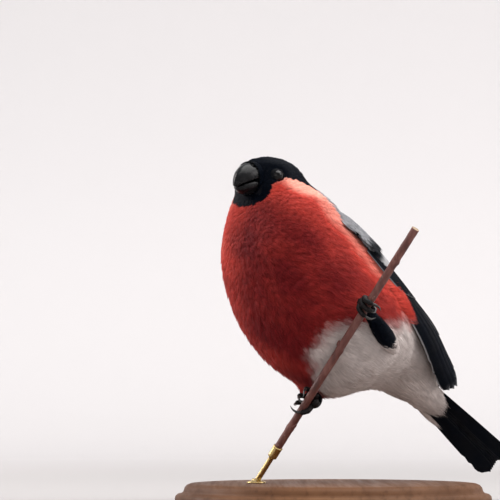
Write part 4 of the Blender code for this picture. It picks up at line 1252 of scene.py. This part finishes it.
def build_legs():
    leg = leg_finish()
    claw_base = Finish("claw horn", Specular_IOR_Level=0.5)
    tone = claw_base.noise(900, 3)
    claw = claw_base.done(
        claw_base.mix(tone, (0.008, 0.007, 0.007), (0.035, 0.028, 0.025)), claw_base.ranged(tone, 0.3, 0.7, 0.25, 0.4)
    )
    for side, (share, palm_turn, toes) in FEET.items():
        knee = from_body(np.array(ANKLES[side]))
        palm = round_twig(share, 0, palm_turn, TWIG_RADIUS + PALM_RADIUS)
        heel = palm + unit(knee - palm) * HEEL_LENGTH
        line = curve_through((knee + unit(knee - heel) * 1.2, knee, (knee + heel) / 2, heel, palm), 90)
        radii = np.interp(np.linspace(0, 1, 90), (0, 0.1, 0.5, 0.82, 1), (1.3, 1.38, 1.0, 1.15, 1.35)) * TARSUS_RADIUS
        scaled_tube(f"tarsus_{side}_scutes", line, radii, leg, 9, 0.09, (f"tarsus_{side}",))
        points, polygons = loft_points(palm + np.array([
            (np.cos(p) * np.array((0, 0, 1)) + np.sin(p) * np.column_stack(
                (np.cos(np.linspace(0, 2 * np.pi, 24, endpoint=False)),
                 np.sin(np.linspace(0, 2 * np.pi, 24, endpoint=False)), np.zeros(24))
            )) * (PALM_RADIUS * (0.96 + 0.05 * np.sin(p * 9)))
            for p in np.linspace(0.05, np.pi - 0.05, 18)
        ]))
        piece(f"foot_{side}_palm", points, polygons, leg, replaces=(f"foot_{side}",))
        for k, (shift_from, shift_to, sweep, reach, radius) in enumerate(toes):
            start = TWIG_RADIUS + TOE_RADIUS + GAP - 0.25
            s = np.linspace(0, 1, 56)
            toe = np.array([
                round_twig(share, shift_from + (shift_to - shift_from) * a, palm_turn + sweep * a, start + reach * a**2)
                for a in s
            ])
            # Pads swell between the joints, and the scutes step over them
            pads = 1 + 0.1 * np.sin(s * np.pi * 3.0) ** 2
            widths = np.interp(s, (0, 1), (1.12, 0.86)) * radius * pads
            widths[-3:] *= (0.93, 0.8, 0.6)
            scaled_tube(f"toe_{side}_{k + 1}", toe, widths, leg, 11, 0.12)
            onward = unit(toe[-1] - toe[-3])
            inward = unit(twig_point(share) - toe[-1])
            reachs = np.linspace(-0.7, 4.9, 30)
            hook = np.array([toe[-1] + onward * (GAP + a) + inward * max(a, 0) ** 2 * 0.12 for a in reachs])
            sizes = np.interp(np.linspace(0, 1, 30), (0, 0.2, 0.6, 0.9, 1), (0.5, 0.56, 0.36, 0.14, 0.03))
            points, polygons = loft_points(tube_rings(hook, sizes, 14))
            node = f"claw_{side}_{k + 1}"
            piece(node + "_horn", points, polygons, claw, replaces=(node,))


def build_shank_coat(dark_coat, pale_coat):
    """Short feathers that cover the shanks from the belly down: the belly's colour at the ankle, then black."""
    for side, (share, palm_turn, _) in FEET.items():
        knee = from_body(np.array(ANKLES[side]))
        palm = round_twig(share, 0, palm_turn, TWIG_RADIUS + PALM_RADIUS)
        heel = palm + unit(knee - palm) * HEEL_LENGTH
        onward = unit(heel - knee)
        across = unit(np.cross(onward, UP))
        over = np.cross(onward, across)
        count = 900
        along = DRAW.uniform(-5.5, np.linalg.norm(heel - knee) * 0.86, count)
        turn = DRAW.uniform(0, 2 * np.pi, count)
        out = np.cos(turn)[:, None] * across + np.sin(turn)[:, None] * over
        thick = np.interp(along, (-7, -4, -1, 2, 6, 10, 12), (2.4, 2.9, 3.5, 3.9, 3.7, 3.1, 2.6))
        length = DRAW.uniform(3.4, 5.2, count)
        step = np.linspace(0, 1, 4)
        far = along[:, None] + length[:, None] * step
        rise = thick[:, None] * (1 - 0.25 * step**2) - 0.7 + 0.8 * (1 - (1 - step) ** 1.6)
        stations = knee + onward * far[..., None] + out[:, None] * rise[..., None]
        ups = np.broadcast_to(out[:, None], stations.shape)
        dark = along + DRAW.uniform(-0.8, 0.8, count) > -2.6
        zones = markings(stations[:, 2])
        zones[:, 0] = dark
        places = np.column_stack((0.05 + 0.9 * turn / 6.3, 0.1 + 0.8 * (along + 7) / 20))
        widths = DRAW.uniform(0.7, 1.0, count)
        parts = (stations, ups, widths, zones, places)
        coat_pieces(f"shank_{side}", *(v[dark] for v in parts), dark_coat, "cap_feathers", 9, 0.4)
        coat_pieces(f"ankle_{side}", *(v[~dark] for v in parts), pale_coat, "body_feathers", 9, 0.4)


# Perch and stand

def build_perch():
    finish = Finish("twig bark", Specular_IOR_Level=0.4)
    turn = tuple(Vector((0, 0, 1)).rotation_difference(Vector(TWIG_HIGH - TWIG_LOW)).inverted().to_euler())
    streak = finish.noise(320, 5, (1, 1, 0.06), turn)
    spots = finish.noise(900, 2, (1, 1, 0.5), turn)
    colour = finish.ramp(streak, ((0.25, (0.035, 0.011, 0.009)), (0.5, (0.115, 0.036, 0.028)), (0.78, (0.22, 0.1, 0.082))))
    colour = finish.mix(finish.ranged(spots, 0.68, 0.76, 0, 0.6), colour, (0.32, 0.2, 0.16))
    finish.bump(finish.math("ADD", streak, spots), 0.0002, 0.7)
    bark = finish.done(colour, finish.ranged(streak, 0.3, 0.7, 0.45, 0.7))
    cut_finish = Finish("cut wood", Roughness=0.7)
    rings_of_wood = cut_finish.noise(1800, 3)
    cut = cut_finish.done(cut_finish.mix(rings_of_wood, (0.24, 0.165, 0.1), (0.36, 0.27, 0.175)))
    rows, around = 260, 32
    share = np.linspace(0, 1, rows)
    line = twig_point(share[:, None])
    rings = tube_rings(line, np.full(rows, TWIG_RADIUS), around)
    out = unit(rings - line[:, None])
    bumps = wave(rings, 2.2, 21) * 0.05 + wave(rings * (1, 1, 1), 0.8, 22) * 0.03
    for at, size in ((0.12, 0.32), (0.47, 0.3), (0.86, 0.36)):
        away = np.abs(share - at)[:, None] * np.linalg.norm(TWIG_HIGH - TWIG_LOW)
        bumps = bumps + size * np.exp(-((away / 1.1) ** 2)) * (0.55 + 0.45 * np.cos(np.linspace(0, 2 * np.pi, around, endpoint=False) + at * 20))
    feet = np.zeros(rows)
    for side, (at, _, _) in FEET.items():
        feet = np.maximum(feet, smooth(9, 5, np.abs(share - at) * np.linalg.norm(TWIG_HIGH - TWIG_LOW)))
    bumps = bumps * (1 - 0.8 * feet)[:, None]
    rings = rings + out * (bumps - 0.05)[..., None]
    points, polygons = loft_points(rings)
    twig = piece("perch_bark", points, polygons, bark, replaces=("perch",))
    twig.data.materials.append(cut)
    count = len(twig.data.polygons)
    for i in range(count - 2 * around, count):
        twig.data.polygons[i].material_index = 1
        twig.data.polygons[i].use_smooth = False
    # Buds at the swellings
    along, near, over = twig_axes()
    for k, (at, turn_at) in enumerate(((0.125, 40), (0.475, 250), (0.865, 330))):
        side = near * math.cos(math.radians(turn_at)) + over * math.sin(math.radians(turn_at))
        s = np.linspace(0, 1, 14)
        line = twig_point(at) + side * (TWIG_RADIUS - 0.5) + s[:, None] * (along * 2.8 + side * 1.1)
        radii = 0.62 * np.sin(np.pi * np.clip(0.12 + s * 0.87, 0, 1)) ** 0.8 + 0.03
        points, polygons = loft_points(tube_rings(line, radii, 16))
        piece(f"bud_{k + 1}", points, polygons, bark)


def build_stand():
    wood = Finish("base wood", Specular_IOR_Level=0.12)
    grain = wood.noise(14, 6, (1, 0.08, 1), (0, 0, 0.3), 0.6)
    fine = wood.noise(420, 3, (1, 0.03, 1), (0, 0, 0.3))
    colour = wood.ramp(grain, ((0.3, (0.06, 0.024, 0.01)), (0.5, (0.13, 0.058, 0.026)), (0.7, (0.21, 0.105, 0.05))))
    colour = wood.mix(wood.ranged(fine, 0.5, 0.75, 0, 0.45), colour, (0.05, 0.022, 0.01))
    wood.bump(fine, 0.00008, 0.6)
    finish = wood.done(colour, wood.ranged(fine, 0.3, 0.7, 0.48, 0.62))
    profile = (
        (57.4, 0.0), (59.0, 0.25), (59.8, 0.9), (60.0, 2.0), (59.8, 3.1), (59.0, 3.9), (57.6, 4.25), (56.9, 4.7),
        (56.6, 5.4), (56.3, 6.4), (55.5, 7.3), (54.2, 7.85), (52.5, 8.0), (40.0, 8.0), (20.0, 8.0), (1.0, 8.0),
    )
    turn = np.linspace(0, 2 * np.pi, 160, endpoint=False)
    rings = np.array([
        np.column_stack((np.cos(turn) * radius, np.sin(turn) * radius, np.full(160, height)))
        for radius, height in profile
    ])
    points, polygons = loft_points(rings)
    piece("stand_base_turned", points, polygons, finish, replaces=("stand_base",))
    brass = Finish("rod brass", Metallic=1.0)
    scratch = brass.noise(900, 3, (1, 1, 0.1))
    metal = brass.done(
        brass.mix(scratch, (0.46, 0.33, 0.13), (0.62, 0.47, 0.22)), brass.ranged(scratch, 0.3, 0.7, 0.2, 0.34)
    )
    along = unit(TWIG_HIGH - TWIG_LOW)
    foot = TWIG_LOW - along * ((TWIG_LOW[2] - 8.0) / along[2])
    s = np.linspace(0, 1, 40)
    line = foot - along * 1.0 + s[:, None] * (TWIG_LOW + along * 3.5 - foot + along * 1.0)
    distance = s * np.linalg.norm(line[-1] - line[0])
    whole = distance[-1]
    radii = 1.05 + 0.75 * smooth(whole - 5.2, whole - 4.6, distance) + 0.1 * smooth(whole - 0.8, whole, distance)
    points, polygons = loft_points(tube_rings(line, radii, 28))
    piece("stand_rod_brass", points, polygons, metal, replaces=("stand_rod",))
    collar = ((0.0, 8.0), (3.6, 8.0), (3.7, 8.35), (3.3, 8.7), (2.2, 8.9), (1.7, 9.3), (1.5, 9.8), (0.9, 9.8))
    turn = np.linspace(0, 2 * np.pi, 48, endpoint=False)
    centre = foot + along * 0.6
    rings = np.array([
        np.column_stack((centre[0] + np.cos(turn) * r, centre[1] + np.sin(turn) * r, np.full(48, z)))
        for r, z in collar[1:]
    ])
    points, polygons = loft_points(rings)
    piece("stand_collar", points, polygons, metal)


# Stage

def build_stage():
    """A pale floor that curves up into a wall on all sides."""
    finish = Finish("floor", Specular_IOR_Level=0.15, Roughness=0.9)
    centre = finish.node("ShaderNodeVectorMath", {0: finish.place()}, operation="LENGTH").outputs[1]
    # The floor is painted darker near the middle and paler out to the wall, to even out the bright pool of the lamps
    # above: painted shade.
    floor = finish.done(finish.mix(finish.ranged(centre, 0.3, 1.4), (0.36, 0.35, 0.346), (0.8, 0.782, 0.778)))
    turn = np.linspace(0, 2 * np.pi, 96, endpoint=False)
    bend = np.linspace(0, np.pi / 2, 14)
    radii = np.concatenate(((0.3, 0.9), 0.9 + 0.6 * np.sin(bend[1:]), (1.5,)))
    heights = np.concatenate(((0, 0), 0.6 - 0.6 * np.cos(bend[1:]), (1.3,)))
    rings = np.stack(
        (np.outer(radii, np.cos(turn)), np.outer(radii, np.sin(turn)), np.repeat(heights[:, None], 96, 1)), -1
    ).reshape(-1, 3)
    mesh = bpy.data.meshes.new("floor")
    faces = [tuple(map(int, face[::-1])) for face in ring_faces(len(radii), 96)] + [tuple(range(96))]
    mesh.from_pydata([Vector(point) for point in rings], [], faces)
    mesh.shade_smooth()
    mesh.materials.append(floor)
    made = bpy.data.objects.new("floor", mesh)
    bpy.context.scene.collection.objects.link(made)


def add_light(name, at, target, size, power, colour=(1, 1, 1)):
    data = bpy.data.lights.new(name, "AREA")
    data.shape = "RECTANGLE"
    data.size, data.size_y = size
    data.energy = power
    data.color = colour
    made = bpy.data.objects.new(name, data)
    made.location = at
    made.rotation_euler = (Vector(target) - Vector(at)).to_track_quat("-Z", "Y").to_euler()
    bpy.context.scene.collection.objects.link(made)


def build_light():
    target = (0, 0, 0.08)
    add_light("sky", (0.25, 0.0, 1.0), target, (0.9, 0.9), 13.0, (1.0, 0.985, 0.97))
    add_light("side", (0.85, -0.15, 0.6), target, (0.5, 0.5), 4.0, (1.0, 0.97, 0.95))
    add_light("rim", (-0.75, 0.3, 0.5), target, (0.3, 0.6), 6.0, (1.0, 0.93, 0.93))
    add_light("front", (-0.35, -0.95, 0.5), target, (0.8, 0.6), 0.9)
    world = bpy.data.worlds.new("studio")
    world.use_nodes = True
    world.node_tree.nodes["Background"].inputs[0].default_value = (0.95, 0.96, 1.0, 1)
    world.node_tree.nodes["Background"].inputs[1].default_value = 0.72
    bpy.context.scene.world = world


def build_camera():
    look_up = math.radians(4)
    target = Vector((-0.0315, 0.006, 0.097))
    back = Vector((0, -math.cos(look_up), -math.sin(look_up)))
    data = bpy.data.cameras.new("camera")
    data.sensor_width = 36
    data.lens = 36 * 900 / (500 / 2.6)
    data.clip_start = 0.01
    camera = bpy.data.objects.new("camera", data)
    camera.location = target + back * 0.9
    camera.rotation_euler = (-back).to_track_quat("-Z", "Y").to_euler()
    bpy.context.scene.collection.objects.link(camera)
    bpy.context.scene.camera = camera


bpy.context.scene.view_settings.view_transform = "Standard"
build_camera()
skin = build_skin(skin_finish())
ground = Ground(skin.data)
cap_coat, body_coat = build_coat(ground)
vane = vane_finish()
for wing, way in (("wing_left", 1), ("wing_right", -1)):
    build_wing(wing, way, vane)
    build_wing_coat(wing, way, body_coat)
    build_flank(wing, way, body_coat)
build_tail(vane, body_coat)
build_bill(horn_finish())
build_bristles(cap_coat)
build_eyes()
build_legs()
build_shank_coat(cap_coat, body_coat)
build_perch()
build_stand()
build_stage()
build_light()
